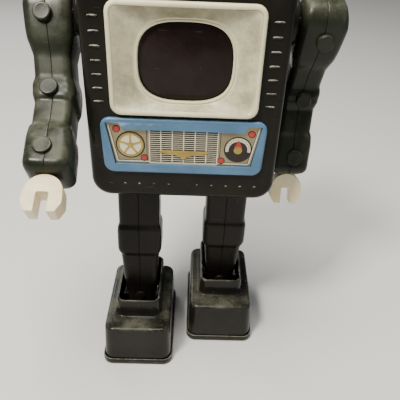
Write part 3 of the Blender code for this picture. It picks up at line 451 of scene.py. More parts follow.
def keep(name, bm, finish, smooth=35, outward=True):  # a mesh becomes an object in the scene
    bmesh.ops.remove_doubles(bm, verts=bm.verts, dist=1e-6)
    if outward:
        bmesh.ops.recalc_face_normals(bm, faces=bm.faces)
    mesh = bpy.data.meshes.new(name)
    bm.to_mesh(mesh)
    bm.free()
    mesh.shade_smooth()
    mesh.set_sharp_from_angle(angle=math.radians(smooth))
    obj = intoScene(name, mesh)
    mesh.materials.append(finishes[finish])
    return obj


def addWall(obj, thick):
    modifier = obj.modifiers.new("wall", "SOLIDIFY")
    modifier.thickness = thick * mm
    modifier.offset = -1
    modifier.use_even_offset = True


def addBevel(obj, width, segments, angle):
    modifier = obj.modifiers.new("softEdges", "BEVEL")
    modifier.width = width * mm
    modifier.segments = segments
    modifier.limit_method = "ANGLE"
    modifier.angle_limit = math.radians(angle)


def addWeighted(obj):
    modifier = obj.modifiers.new("evenShade", "WEIGHTED_NORMAL")
    modifier.keep_sharp = True


def addCut(obj, bm):
    bmesh.ops.recalc_face_normals(bm, faces=bm.faces)
    mesh = bpy.data.meshes.new("cutter")
    bm.to_mesh(mesh)
    bm.free()
    cutter = intoScene("cutter", mesh)
    modifier = obj.modifiers.new("cut", "BOOLEAN")
    modifier.operation = "DIFFERENCE"
    modifier.solver = "EXACT"
    modifier.object = cutter


def settle(obj):  # applies the modifiers and clears away any cutters
    bpy.context.view_layer.update()
    graph = bpy.context.evaluated_depsgraph_get()
    mesh = bpy.data.meshes.new_from_object(obj.evaluated_get(graph))
    cutters = [m.object for m in obj.modifiers if m.type == "BOOLEAN"]
    obj.modifiers.clear()
    obj.data = mesh
    for cutter in cutters:
        bpy.data.objects.remove(cutter)


def roundEdges(obj, width, segments=2, angle=50):
    addBevel(obj, width, segments, angle)
    settle(obj)


def roundOver(bm, edges, radius, segments):
    bmesh.ops.bevel(bm, geom=edges, offset=radius * mm, offset_type="OFFSET", segments=segments, profile=0.5,
        affect="EDGES")


def boxMesh(low, high):
    bm = bmesh.new()
    bmesh.ops.create_cube(bm, size=1)
    for vert in bm.verts:
        vert.co = Vector(a + (b - a) * (c + 0.5) for a, b, c in zip(low, high, vert.co)) * mm
    return bm


def fit(obj, body, slot, *nodes):
    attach(obj, body)
    if nodes:
        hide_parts(*nodes)
    return obj


# Geometry Nodes: one small shape set out on points

def scatterTree(name, finish):
    tree = bpy.data.node_groups.new(name, "GeometryNodeTree")
    sockets = {}
    kinds = {"Points": "Geometry", "Shape": "Object", "Size": "Float", "Wobble": "Float", "Seed": "Int"}
    for socket, kind in kinds.items():
        sockets[socket] = tree.interface.new_socket(name=socket, in_out="INPUT",
            socket_type="NodeSocket" + kind)
    tree.interface.new_socket(name="Geometry", in_out="OUTPUT", socket_type="NodeSocketGeometry")
    start, end = tree.nodes.new("NodeGroupInput"), tree.nodes.new("NodeGroupOutput")
    shape = tree.nodes.new("GeometryNodeObjectInfo")
    tree.links.new(start.outputs["Shape"], shape.inputs["Object"])
    spread = tree.nodes.new("FunctionNodeRandomValue")
    spread.data_type = "FLOAT"
    tree.links.new(start.outputs["Seed"], spread.inputs["Seed"])
    for operation, socket in (("SUBTRACT", 2), ("ADD", 3)):
        limit = mathNode(tree, operation, start.outputs["Size"], start.outputs["Wobble"])
        tree.links.new(limit, spread.inputs[socket])
    place = tree.nodes.new("GeometryNodeInstanceOnPoints")
    tree.links.new(start.outputs["Points"], place.inputs["Points"])
    tree.links.new(shape.outputs["Geometry"], place.inputs["Instance"])
    tree.links.new(spread.outputs[1], place.inputs["Scale"])
    turn = tree.nodes.new("GeometryNodeInputNamedAttribute")
    turn.data_type = "FLOAT_VECTOR"
    turn.inputs["Name"].default_value = "turn"
    tree.links.new(turn.outputs[0], place.inputs["Rotation"])
    real = tree.nodes.new("GeometryNodeRealizeInstances")
    coat = tree.nodes.new("GeometryNodeSetMaterial")
    coat.inputs["Material"].default_value = finishes[finish]
    tree.links.new(place.outputs["Instances"], real.inputs["Geometry"])
    tree.links.new(real.outputs["Geometry"], coat.inputs["Geometry"])
    tree.links.new(coat.outputs["Geometry"], end.inputs["Geometry"])
    return tree, {name: socket.identifier for name, socket in sockets.items()}


def scatter(name, places, shape, finish, size=1.0, wobble=0.0, seed=3, turns=None):
    mesh = bpy.data.meshes.new(name + "Points")
    mesh.from_pydata([Vector(place) * mm for place in places], [], [])
    turnValues = mesh.attributes.new("turn", "FLOAT_VECTOR", "POINT")
    turnValues.data.foreach_set("vector", [c for turn in turns or [(0, 0, 0)] * len(places) for c in turn])
    points = intoScene(name + "Points", mesh)
    tree, ids = scatterTree(name + "Tree", finish)
    modifier = points.modifiers.new("set", "NODES")
    modifier.node_group = tree
    modifier[ids["Shape"]] = shape
    modifier[ids["Size"]] = size
    modifier[ids["Wobble"]] = wobble
    modifier[ids["Seed"]] = seed
    bpy.context.view_layer.update()
    made = bpy.data.meshes.new_from_object(points.evaluated_get(bpy.context.evaluated_depsgraph_get()))
    made.shade_smooth()
    made.set_sharp_from_angle(angle=math.radians(40))
    obj = intoScene(name, made)
    bpy.data.objects.remove(points)
    bpy.data.objects.remove(shape)
    return obj


# torso: two pressed tin halves

torsoLow, torsoHigh = nodeBox("torso_shell")
coverLow, coverHigh = nodeBox("rear_cover")
torso = dict(tin=1.2, lowRadius=14, topRadius=12, edgeRadius=5, windowA=91 / 2 - 1.4, windowB=33.8,
    windowRadius=6.5)
screenBox = nodeBox("screen_bezel")
screenAt = (screenBox[0] + screenBox[1]) / 2
hipAt = jointAt["left_hip"]


def roundedShell(low, high, openY, frontY):
    bm = boxMesh(low, high)
    middle = (low[2] + high[2]) / 2 * mm

    def along(test):
        return [e for e in bm.edges if abs((e.verts[0].co - e.verts[1].co).normalized().y) > 0.99
            and test((e.verts[0].co.z + e.verts[1].co.z) / 2)]

    for edges, radius in ((along(lambda z: z < middle), torso["lowRadius"]),
            (along(lambda z: z > middle), torso["topRadius"])):
        roundOver(bm, edges, radius, 12)
    front = [e for e in bm.edges if all(abs(v.co.y - frontY * mm) < 1e-7 for v in e.verts)]
    roundOver(bm, front, torso["edgeRadius"], 6)
    faces = [f for f in bm.faces if all(abs(v.co.y - openY * mm) < 1e-7 for v in f.verts)]
    bmesh.ops.delete(bm, geom=faces, context="FACES")
    return bm


def makeTorso():
    shell = keep("torsoFront", roundedShell(torsoLow, torsoHigh, torsoHigh.y, torsoLow.y), "darkLacquer")
    addWall(shell, torso["tin"])
    window = [(a, screenAt.z + b) for a, b in rounded(torso["windowA"], torso["windowB"],
        torso["windowRadius"])]
    addCut(shell, prism(window, torsoLow.y - 2, torsoLow.y + 4))
    for leg in ("left_leg", "right_leg"):
        outer, inner = nodeBox(leg + "_outer"), nodeBox(leg + "_inner")
        middle = (min(outer[0].x, inner[0].x) + max(outer[1].x, inner[1].x)) / 2
        half = legLook["wide"] / 2 + 1
        slot = rounded(half, legLook["deep"] / 2 + 2.5, 1.5, 3)
        addCut(shell, prism([(middle + a, hipAt.y + b) for a, b in slot], torsoLow.z - 2, torsoLow.z + 3,
            "Z"))
    settle(shell)
    addWeighted(shell)
    fit(shell, "torso", "dark_paint", "torso_shell")

    back = keep("torsoBack", roundedShell(coverLow, coverHigh, coverLow.y, coverHigh.y), "darkLacquer")
    addWall(back, torso["tin"])
    keyAt = jointAt["key_turn"]
    addCut(back, turned([(3.5, -4), (3.5, 2)], (keyAt.x, coverHigh.y, keyAt.z), (0, 1, 0), 32))
    slot = [(22 + a, keyAt.z - 36 + b) for a, b in rounded(6, 3, 2.6, 5)]
    addCut(back, prism(slot, coverHigh.y - 4, coverHigh.y + 2))
    settle(back)
    addWeighted(back)
    fit(back, "torso", "dark_paint", "rear_cover")
    print("torso made")


# louvres and pips pressed into the front

trim = dict(louvreX=56.4, louvreZ=(286, 277, 268, 259, 250, 241, 232), louvreHigh=1.9,
    pipX=(10.4, 20.8, 31.2, 41.6, 52.1), pipZ=169.9, pipRadius=1.15)


def makeTrim():
    rings = []
    for x, swell in ((-3.4, 0.12), (-2.9, 0.75), (-1.5, 1.0), (0, 1.0), (1.5, 1.0), (2.9, 0.75),
            (3.4, 0.12)):
        h, d = trim["louvreHigh"] / 2 * swell, 0.95 * swell
        rings.append([(x, 0.05, h), (x, -d * 0.75, h * 0.8), (x, -d, h * 0.35), (x, -d * 0.75, -h * 0.3),
            (x, -d * 0.3, -h * 0.85), (x, 0.05, -h)])
    louvre = keep("louvreShape", loft(rings, capStart=True, capEnd=True), "wornRidge")
    places = [(side * trim["louvreX"], torsoLow.y, z) for side in (-1, 1) for z in trim["louvreZ"]]
    louvres = scatter("louvres", places, louvre, "wornRidge")
    fit(louvres, "torso", "dark_paint")
    radius = trim["pipRadius"]
    bm = turned([(0.01, -0.62), (radius * 0.45, -0.55), (radius * 0.8, -0.33), (radius, 0.05)], (0, 0, 0),
        (0, 1, 0), 16)
    pip = keep("pipShape", bm, "wornRidge")
    places = [(side * x, torsoLow.y, trim["pipZ"]) for side in (-1, 1) for x in trim["pipX"]]
    pips = scatter("pips", places, pip, "wornRidge", 1.0, 0.06, 5)
    fit(pips, "torso", "dark_paint")
    print("louvres and pips made")


# chest screen

screen = dict(rimRadius=7, depth=9, wide=61, high=51, drop=2.4, bulge=3, power=2.9)


def framePoints(halfA, halfB, radius, sideSteps=9, cornerSteps=4, power=None):
    # each side of the rectangle keeps to its own quarter of the opening, so the funnel faces stay flat
    points = []
    for side in range(4):
        turn = side * 90
        if power:
            spans = [(turn - 45 + 7 + 76 * i / sideSteps) for i in range(sideSteps + 1)]
            spans += [(turn + 38 + 14 * i / cornerSteps) for i in range(1, cornerSteps)]
            for angle in spans:
                c, d = math.cos(math.radians(angle)), math.sin(math.radians(angle))
                points.append((halfA * math.copysign(abs(c) ** (2 / power), c),
                    halfB * math.copysign(abs(d) ** (2 / power), d)))
            continue
        along, out = (halfB, halfA) if side % 2 == 0 else (halfA, halfB)
        c, d = round(math.cos(math.radians(turn))), round(math.sin(math.radians(turn)))
        for i in range(sideSteps + 1):
            t = (along - radius) * (2 * i / sideSteps - 1)
            points.append((c * out - d * t, d * out + c * t))
        for i in range(1, cornerSteps):
            angle = math.radians(turn + 90 * i / cornerSteps)
            signA = 1 if side in (0, 3) else -1
            signB = 1 if side in (0, 1) else -1
            points.append(((halfA - radius) * signA + radius * math.cos(angle),
                (halfB - radius) * signB + radius * math.sin(angle)))
    return points


def makeScreen():
    low, high = screenBox
    halfA, halfB = (high.x - low.x) / 2, (high.z - low.z) / 2
    rim, back = low.y, torsoLow.y - gap
    deep = rim + screen["depth"]
    centre, mid = screenAt.z, screenAt.z - screen["drop"]

    def level(inset, depth, radius):
        return [(a, depth, centre + b) for a, b in framePoints(halfA - inset, halfB - inset, radius)]

    def oval(grow, depth):
        return [(a, depth, mid + b) for a, b in framePoints(screen["wide"] / 2 + grow,
            screen["high"] / 2 + grow, 0, power=screen["power"])]

    def between(first, second, share):
        return [tuple(a + (b - a) * share for a, b in zip(p, q)) for p, q in zip(first, second)]

    edge, mouth = level(3.6, rim + 1.0, screen["rimRadius"] - 3.4), oval(1.9, deep - 1.2)
    rings = [level(0, back, screen["rimRadius"])]
    lip = (0, 1.8, 0), (0.2, 1.0, 0), (0.7, 0.35, 0.4), (1.4, 0.04, 1), (2.1, 0, 1.5), (2.8, 0.25,
        2.3), (3.25, 0.62, 3.0)
    rings += [level(inset, rim + down, screen["rimRadius"] - tighter) for inset, down, tighter in lip]
    rings.append(edge)
    rings += [between(edge, mouth, share) for share in (0.05, 0.2, 0.4, 0.6, 0.8, 0.95)]
    rings.append(mouth)
    roll = (1.5, 1.45), (1.0, 1.55), (0.5, 1.35), (0.15, 0.9), (0, 0.3), (0, -1)
    rings += [oval(grow, deep - rise) for grow, rise in roll]
    bezel = keep("screenBezel", loft(rings), "creamPaint", 28, False)
    addWall(bezel, 1.1)
    fit(bezel, "torso", "cream_paint", "screen_bezel")

    seat = deep + 1 + 2 * gap
    rings = [oval(3.0, seat), oval(-0.4, seat)]
    for share in (0.96, 0.9, 0.8, 0.65, 0.5, 0.35, 0.2, 0.08):
        depth = seat - screen["bulge"] * (1 - share ** 2)
        half = (screen["wide"] / 2 - 0.6, screen["high"] / 2 - 0.6)
        rings.append([(a * share, depth, mid + b * share) for a, b in framePoints(*half, 0,
            power=screen["power"])])
    lens = keep("screenLens", loft(rings, capEnd=True), "smokedLens", 60, False)
    addWall(lens, 1.0)
    fit(lens, "torso", "smoked_lens", "screen_lens")
    print("screen made")


# control panel

panel = dict(low=21.9, high=63.1, lowWide=110.5, highWide=113.5, radius=7.0, proud=2.4, plate=0.6,
    wheel=(-36.6, 201.9, 9.4), knob=(37.7, 200.6, 9.2), grille=(-23.5, 23.5, 188.3, 214.2), rows=17,
    buttons=((-45.8, 213.6), (-27.2, 192.2), (26.4, 191.6), (46.4, 212.6)), buttonRadius=2.1,
    bar=(-16.6, 16.9, 197.6), plateLow=7, plateTop=3.4, notchDeep=4.6, footHalf=47.5, headHalf=53.0,
    notchHalf=44.0, trimInset=1.7, trimWide=0.8, lineInset=2.5, lineWide=0.35, divider=25.3, rowHalf=0.18,
    postHalf=0.32)


def panelEdge(inset, steps=8):
    low, high = torsoLow.z + panel["low"] + inset, torsoLow.z + panel["high"] - inset
    centre, halfUp = (low + high) / 2, (high - low) / 2
    points = []
    for a, b in rounded(panel["highWide"] / 2 - inset, halfUp, max(panel["radius"] - inset, 0.8), steps):
        lean = (panel["highWide"] - panel["lowWide"]) / 2 * (halfUp - b) / (2 * halfUp)
        points.append((a - math.copysign(lean, a), centre + b))
    return points


def plateEdge(inset):
    low = torsoLow.z + panel["low"] + panel["plateLow"] + inset
    top = torsoLow.z + panel["high"] - panel["plateTop"] - inset
    bar = top - panel["notchDeep"]
    halfLow, halfTop, step = panel["footHalf"] - inset, panel["headHalf"] - inset, panel["notchHalf"] + inset
    return [(-halfLow, low), (halfLow, low), (halfTop, top), (step, top), (step - 3, bar), (-step + 3, bar),
        (-step, top), (-halfTop, top)]


def plateOutline(inset, wide, high, face):  # a line round the plate, open along its top
    edge = plateEdge(inset)
    return stripAlong([edge[7], edge[0], edge[1], edge[2]], wide, high, face)


def stripAlong(path, wide, high, low):  # a thin raised line through (x, z) points on the plate
    bm = bmesh.new()
    for (xa, za), (xb, zb) in zip(path, path[1:]):
        run = Vector((xb - xa, zb - za)).normalized()
        side = Vector((-run.y, run.x)) * wide / 2
        corners = [(xa + side.x, za + side.y), (xa - side.x, za - side.y), (xb - side.x, zb - side.y),
            (xb + side.x, zb + side.y)]
        join(bm, prism(corners, low, low - high))
    return bm


def makePanel():
    back = torsoLow.y - gap
    front = back - panel["proud"]
    face = back - panel["plate"]
    rounding = (0, back), (0, front + 1.7), (0.2, front + 1.0), (0.65, front + 0.4), (1.3,
        front + 0.08), (2.0, front)
    rings = [[(a, y, b) for a, b in panelEdge(inset)] for inset, y in rounding]
    surround = keep("panelFrame", loft(rings, capStart=True, capEnd=True), "bluePaint", 40)
    addCut(surround, prism(plateEdge(0), front - 1, back + 1))
    roundEdges(surround, 0.45, 3)
    addWeighted(surround)
    fit(surround, "torso", "blue_paint", "panel_frame")

    plate = keep("panelPlate", prism(plateEdge(gap), face, back), "printedTin")
    roundEdges(plate, 0.12)
    fit(plate, "torso", "printed_tin", "panel_plate")

    onPlate("plateTrim", plateOutline(panel["trimInset"], panel["trimWide"], 0.07, face), "printWhite")
    divider, dark = panel["divider"], []
    for x in (-divider, divider):
        dark.append(stripAlong([(x, 188), (x, 214.5)], 0.45, 0.06, face))
    dark = join(plateOutline(panel["lineInset"], panel["lineWide"], 0.05, face), join(*dark))
    onPlate("plateLines", dark, "printBlack")

    xa, xb, za, zb = panel["grille"]
    row, post = panel["rowHalf"], panel["postHalf"]
    onPlate("grilleField", prism([(xa, za), (xb, za), (xb, zb), (xa, zb)], face, face - 0.08), "printBlack")
    bar = keep("rowShape", prism([(xa, -row), (xb, -row), (xb, row), (xa, row)], 0, -0.08), "printWhite")
    pitch = (zb - za) / panel["rows"]
    rows = scatter("grilleRows", [(0, face - 0.08, za + pitch * (i + 0.5)) for i in range(panel["rows"])],
        bar, "printWhite")
    fit(rows, "torso", "printed_tin")
    shape = keep("postShape", prism([(-post, za), (post, za), (post, zb), (-post, zb)], 0, -0.12),
        "printWhite")
    posts = scatter("grillePosts", [(xa + (xb - xa) * i / 6, face - 0.08, 0) for i in range(7)], shape,
        "printWhite")
    wearing(posts, stripAlong([(xa, za), (xb, za)], 0.8, 0.2, face))
    wearing(posts, stripAlong([(xa, zb), (xb, zb)], 0.8, 0.2, face))
    fit(posts, "torso", "printed_tin")

    x0, x1, z = panel["bar"]
    outline = [(x0, z + 0.9), (x0, z - 0.8), (x0 + 5, z - 1.9), (x0 + 11, z - 2.6), (-1.6, z - 4.6),
        (0, z - 6.2), (1.6, z - 4.6), (x1 - 11, z - 2.6), (x1 - 5, z - 1.9), (x1, z - 0.8), (x1, z + 0.9)]
    gold = keep("grilleBar", prism(outline, face - 0.1, face - 0.55), "printGold")
    roundEdges(gold, 0.16)
    fit(gold, "torso", "printed_tin")
    makeDials(face)
    print("panel made")


def turnedPiece(name, profile, at, axis, sides, finish, slot, *nodes):
    return fit(keep(name, turned(profile, at, axis, sides), finish, 40), "torso", slot, *nodes)


def onPlate(name, bm, finish):
    return fit(keep(name, bm, finish), "torso", "printed_tin")


def disc(x, z, face, profile, sides=48):
    return turned(profile, (x, face, z), (0, -1, 0), sides)


def makeDials(face):
    x, z, radius = panel["wheel"]
    onPlate("wheelEdge", disc(x, z, face, [(radius + 0.7, 0), (radius + 0.7, 0.08), (radius - 2.6, 0.08)]),
        "printBlack")
    onPlate("wheelFace", disc(x, z, face, [(radius - 1.9, 0.02), (radius - 1.9, 0.12), (0.01, 0.12)]),
        "printWhite")
    ring = [(radius - 1.9, 0.05), (radius - 1.9, 0.28), (radius - 1.5, 0.5), (radius - 0.7, 0.5),
        (radius - 0.25, 0.28), (radius - 0.25, 0.05)]
    wheel = loopTurned(ring, (x, face, z), (0, -1, 0), 56)
    for spoke in range(5):
        turn = Matrix.Rotation(math.radians(72 * spoke + 90), 2)
        shape = [turn @ Vector(point) for point in ((1.0, -0.8), (radius - 1.6, -0.42), (radius - 1.6, 0.42),
            (1.0, 0.8))]
        join(wheel, prism([(x + p.x, z + p.y) for p in shape], face - 0.1, face - 0.4))
    join(wheel, disc(x, z, face, [(1.9, 0.1), (1.9, 0.42), (1.5, 0.6), (0.01, 0.66)], 32))
    onPlate("fiveSpokeWheel", wheel, "printGold")

    x, z, radius = panel["knob"]
    onPlate("knobEdge", disc(x, z, face, [(radius + 0.6, 0), (radius + 0.6, 0.1), (0.01, 0.1)]),
        "printBlack")
    upper = [(x + a, z + b) for a, b in arc((0, 0.2), radius - 0.5, -14, 194, 36)] + [(x - 3.5, z - 1.0),
        (x + 3.5, z - 1.0)]
    onPlate("knobScale", prism(upper, face - 0.08, face - 0.16), "printWhite")
    lower = [(x + a, z + b) for a, b in arc((0, -0.4), radius - 2.6, 0, 360, 40)[:-1]]
    onPlate("knobFace", prism(lower, face - 0.1, face - 0.22), "printBlack")
    tick = keep("tickShape", prism([(-0.16, -0.7), (0.16, -0.7), (0.16, 0.7), (-0.16, 0.7)], 0, -0.05),
        "printBlack")
    angles = [math.radians(-4 + 188 * i / 14) for i in range(15)]
    ticks = scatter("knobTicks", [(x + (radius - 1.6) * math.cos(a), face - 0.16,
        z + (radius - 1.6) * math.sin(a)) for a in angles], tick, "printBlack",
        turns=[(0, math.pi / 2 - a, 0) for a in angles])
    fit(ticks, "torso", "printed_tin")
    onPlate("knobPointer", prism([(x - 2.9, z + 1.6), (x + 2.9, z + 1.6), (x, z + 7.6)], face - 0.2,
        face - 0.34), "printRed")
    onPlate("knobCap", disc(x, z - 0.3, face, [(2.9, 0.2), (2.9, 0.45), (2.4, 0.62), (0.01, 0.66)], 32),
        "printGold")

    rims, caps = bmesh.new(), bmesh.new()
    for x, z in panel["buttons"]:
        join(rims, disc(x, z, face, [(panel["buttonRadius"] + 0.55, 0), (panel["buttonRadius"] + 0.55, 0.12),
            (0.01, 0.12)], 28))
        join(caps, disc(x, z, face, [(panel["buttonRadius"], 0.1), (panel["buttonRadius"], 0.3),
            (panel["buttonRadius"] - 0.5, 0.48), (0.01, 0.55)], 28))
    onPlate("buttonRims", rims, "printBlack")
    onPlate("buttonCaps", caps, "printRed")


# limbs: two moulded halves round a route

rowSpacing = 1.6


def halfSection(halfWide, front, back, radius, side, steps=5):
    seam = 0.04
    points = [(side * seam, -front + 0.45), (side * (seam + 0.22), -front + 0.08), (side * 0.8, -front)]
    flat = halfWide - radius
    points += [(side * flat * share, -front) for share in (0.4, 0.75)]
    for centreY, start in ((-(front - radius), -90), (back - radius, 0)):
        points += [(side * (flat + radius * math.cos(t)), centreY + radius * math.sin(t))
            for t in (math.radians(start + 90 * i / steps) for i in range(steps + 1))]
    points += [(side * flat * share, back) for share in (0.75, 0.4)]
    points += [(side * 0.8, back), (side * (seam + 0.22), back - 0.08), (side * seam, back - 0.45)]
    return points


def spread(rows, spacing):  # more rows between the given ones, eased so that they never overshoot
    slopes = []
    for i, row in enumerate(rows):
        before, after = rows[max(i - 1, 0)], rows[min(i + 1, len(rows) - 1)]
        slope = []
        for k in range(1, len(row)):
            d0 = (row[k] - before[k]) / max(row[0] - before[0], 1e-6)
            d1 = (after[k] - row[k]) / max(after[0] - row[0], 1e-6)
            slope.append(0.0 if d0 * d1 <= 0 else 2 * d0 * d1 / (d0 + d1))
        slopes.append(slope)
    made = [rows[0]]
    for (first, second), (s0, s1) in zip(zip(rows, rows[1:]), zip(slopes, slopes[1:])):
        run = second[0] - first[0]
        count = max(1, round(run / spacing))
        for step in range(1, count + 1):
            t = step / count
            h00, h10 = 2 * t**3 - 3 * t**2 + 1, t**3 - 2 * t**2 + t
            h01, h11 = -2 * t**3 + 3 * t**2, t**3 - t**2
            made.append((first[0] + run * t, *(h00 * a + h10 * run * m0 + h01 * b + h11 * run * m1
                for a, b, m0, m1 in zip(first[1:], second[1:], s0, s1))))
    return made


def limbHalf(name, rows, side, origin, swing, route, finish):
    turn = Matrix.Rotation(swing, 3, "X")
    rings = []
    for distance, halfWide, front, back, radius in spread(rows, rowSpacing):
        place, lean = route(distance)
        tilt = Matrix.Rotation(lean, 3, "X")
        rings.append([origin + turn @ (Vector(place) + tilt @ Vector((a, b, 0)))
            for a, b in halfSection(halfWide, front, back, radius, side)])
    bm = loft(rings, closed=False, capStart=True, capEnd=True)
    if side > 0:
        bmesh.ops.reverse_faces(bm, faces=bm.faces)
    limb = keep(name, bm, finish, 45, False)
    addWall(limb, 1.2)
    settle(limb)
    return limb


def wearing(obj, bm):  # more closed shapes joined to a piece's mesh
    whole = bmesh.new()
    whole.from_mesh(obj.data)
    join(whole, bm)
    whole.to_mesh(obj.data)
    whole.free()
    obj.data.shade_smooth()
    obj.data.set_sharp_from_angle(angle=math.radians(45))


# arms

armLook = dict(upper=57.4, fore=48.1, bend=29.4, elbowIn=5.6, wristIn=2.6, top=17.0, shoulder=16.0,
    wide=12.4, elbow=14.25, wrist=14.5, front=12.0, back=16.0, cuff=15.5, bossRadius=5.9, bossProud=2.2,
    bossOut=2.0, bosses=(6.5, 58.9, 106.3), ease=8.0)


def armRoute(side):
    bend, ease = math.radians(armLook["bend"]), armLook["ease"]
    curve = 2 * ease / bend  # the elbow is an arc of this radius
    start = armLook["upper"] - curve * math.tan(bend / 2)

    def route(distance):
        past = max(distance - armLook["upper"], 0)
        inward = armLook["elbowIn"] * min(max(distance / armLook["upper"], 0), 1)
        inward += armLook["wristIn"] * min(past / armLook["fore"], 1.2)
        leaned = bend * min(max((distance - armLook["upper"] + ease) / (2 * ease), 0), 1)
        if leaned == 0:
            down, forward = distance, 0.0
        elif leaned == bend:
            down, forward = armLook["upper"] + past * math.cos(bend), past * math.sin(bend)
        else:
            down, forward = start + curve * math.sin(leaned), curve * (1 - math.cos(leaned))
        return (-side * inward, -forward, -down), -leaned

    return route


def armRows():
    top, half, wide, elbow, wrist = (armLook[key] for key in ("top", "shoulder", "wide", "elbow", "wrist"))
    front, back, upper = armLook["front"], armLook["back"], armLook["upper"]
    end, cuff = upper + armLook["fore"], armLook["cuff"]
    return [(-top * 0.97, half - 6, 4.0, 4.0, 3.5), (-top * 0.88, half - 3.6, 8.2, 8.2, 4.5),
        (-top * 0.72, half - 2.1, 11.6, 11.6, 5.5), (-top * 0.35, half - 0.6, 15.2, 15.2, 6),
        (0, half, 16.2, 17.0, 6), (14, half - 0.3, 15.8, 18.0, 6), (22, half - 0.9, 15.0, 18.0, 6),
        (26, half - 2.0, 14.0, 17.4, 5.5), (29.5, wide + 0.8, front + 0.6, back + 0.6, 5),
        (33, wide, front, back, 5), (upper - 12, wide, front, back, 5),
        (upper - 7, elbow - 0.7, front + 1.8, back + 0.8, 5.5),
        (upper - 2, elbow, front + 2.6, back + 1.2, 6), (upper + 6, elbow - 0.2, front + 2.6, back + 1, 6),
        (upper + 10, elbow - 1.2, front + 1.8, back + 0.4, 5.5), (upper + 12.5, wide, front, back, 5),
        (upper + 29, wide, front, back, 5), (end - 15, wrist - 0.8, front + 1.6, back + 1.2, 5.5),
        (end - 6, wrist, front + 2.2, back + 2, 6), (end + cuff - 6, wrist, front + 2.2, back + 2, 6),
        (end + cuff - 3, wrist - 0.7, front + 1.3, back + 1.1, 5.8),
        (end + cuff - 1.2, wrist - 2.0, front - 0.2, back - 0.4, 5.5),
        (end + cuff, wrist - 4.5, front - 3, back - 3.2, 4)]


def armFront(distance):
    rows = spread(armRows(), rowSpacing)
    return max(front for along, _, front, _, _ in rows if abs(along - distance) <= armLook["bossRadius"])


def makeArm(name, side):
    shoulder = jointAt[name + "_arm_swing"]
    wristAxis = jointAxis[name + "_wrist"]
    swing = math.radians(armLook["bend"]) - math.atan2(wristAxis.y, wristAxis.z)
    route = armRoute(side)
    turn = Matrix.Rotation(swing, 3, "X")
    for half, out in (("Outer", side), ("Inner", -side)):
        limb = limbHalf(f"{name}Arm{half}", armRows(), out, shoulder, swing, route, "darkPlastic")
        if half == "Outer":
            radius, proud = armLook["bossRadius"], armLook["bossProud"]
            for distance in armLook["bosses"]:
                place, lean = route(distance)
                facing = turn @ Matrix.Rotation(lean, 3, "X") @ Vector((0, -1, 0))
                base = shoulder + turn @ (Vector(place) + Vector((side * armLook["bossOut"], 0, 0)))
                front = armFront(distance)
                if distance < armLook["upper"] + 5:  # bosses above the forearm stand out a little more
                    front += 0.3 * radius * math.sin(math.radians(armLook["bend"]))
                profile = [(radius - 1.0, front - 3.5), (radius, front - 3.0), (radius, front + proud - 0.6),
                    (radius - 0.2, front + proud - 0.2), (radius - 0.6, front + proud),
                    (radius - 1.4, front + proud - 0.05), (radius * 0.4, front + proud - 0.12),
                    (0.01, front + proud - 0.12)]
                boss = turned(profile, base, facing, 40)
                wearing(limb, boss)
        fit(limb, name + "_arm", "dark_plastic", f"{name}_arm_{half.lower()}")
    print(name, "arm made")


# hands

handLook = dict(wide=25.0, long=25.0, deep=12.5, slotWide=7.5, slotLong=13.0, peg=4.5)


def makeHand(name):
    wrist, axis = jointAt[name + "_wrist"], jointAxis[name + "_wrist"]
    turn = Matrix.Rotation(-math.atan2(axis.y, axis.z), 3, "X")
    half, slot, top = handLook["wide"] / 2, handLook["slotWide"] / 2, -gap - 0.2
    low = top - handLook["long"]
    crownAt = top - half + 0.5
    slotTop = low + handLook["slotLong"]
    outline = arc((0, crownAt), half - 0.5, 0, 180, 22)
    finger = [(half - 0.3, crownAt - 1), (half, low + 6.5), (half - 0.4, low + 5.2), (half - 3.2, low + 0.4),
        (half - 4.0, low), (slot + 0.3, low), (slot, low + 0.4), (slot, slotTop - 0.8),
        (slot - 0.8, slotTop)]
    outline += [(-a, b) for a, b in finger] + finger[::-1]
    deep = handLook["deep"] / 2
    bm = prism(outline, -deep, deep, "Y")
    for vert in bm.verts:
        vert.co = (wrist + turn @ (vert.co / mm)) * mm
    hand = keep(name + "Hand", bm, "creamPlastic", 30)
    roundEdges(hand, 0.9, 4)
    centre = wrist + turn @ Vector((0, 0, top - 4))
    profile = [(handLook["peg"] - 0.4, 0), (handLook["peg"], 0.4), (handLook["peg"], 4.2 + 0.5),
        (handLook["peg"] - 0.5, 5.2), (0.01, 5.2)]
    wearing(hand, turned(profile, centre, turn @ Vector((0, 0, 1)), 32))
    addWeighted(hand)
    fit(hand, name + "_hand", "cream_plastic", name + "_hand")
    print(name, "hand made")


# legs

legLook = dict(wide=33.6, deep=26.0, long=136.0, knee=18.4, kneeDeep=14.5, kneeTop=60, kneeLow=84,
    shin=12.25, shinDeep=10.0)


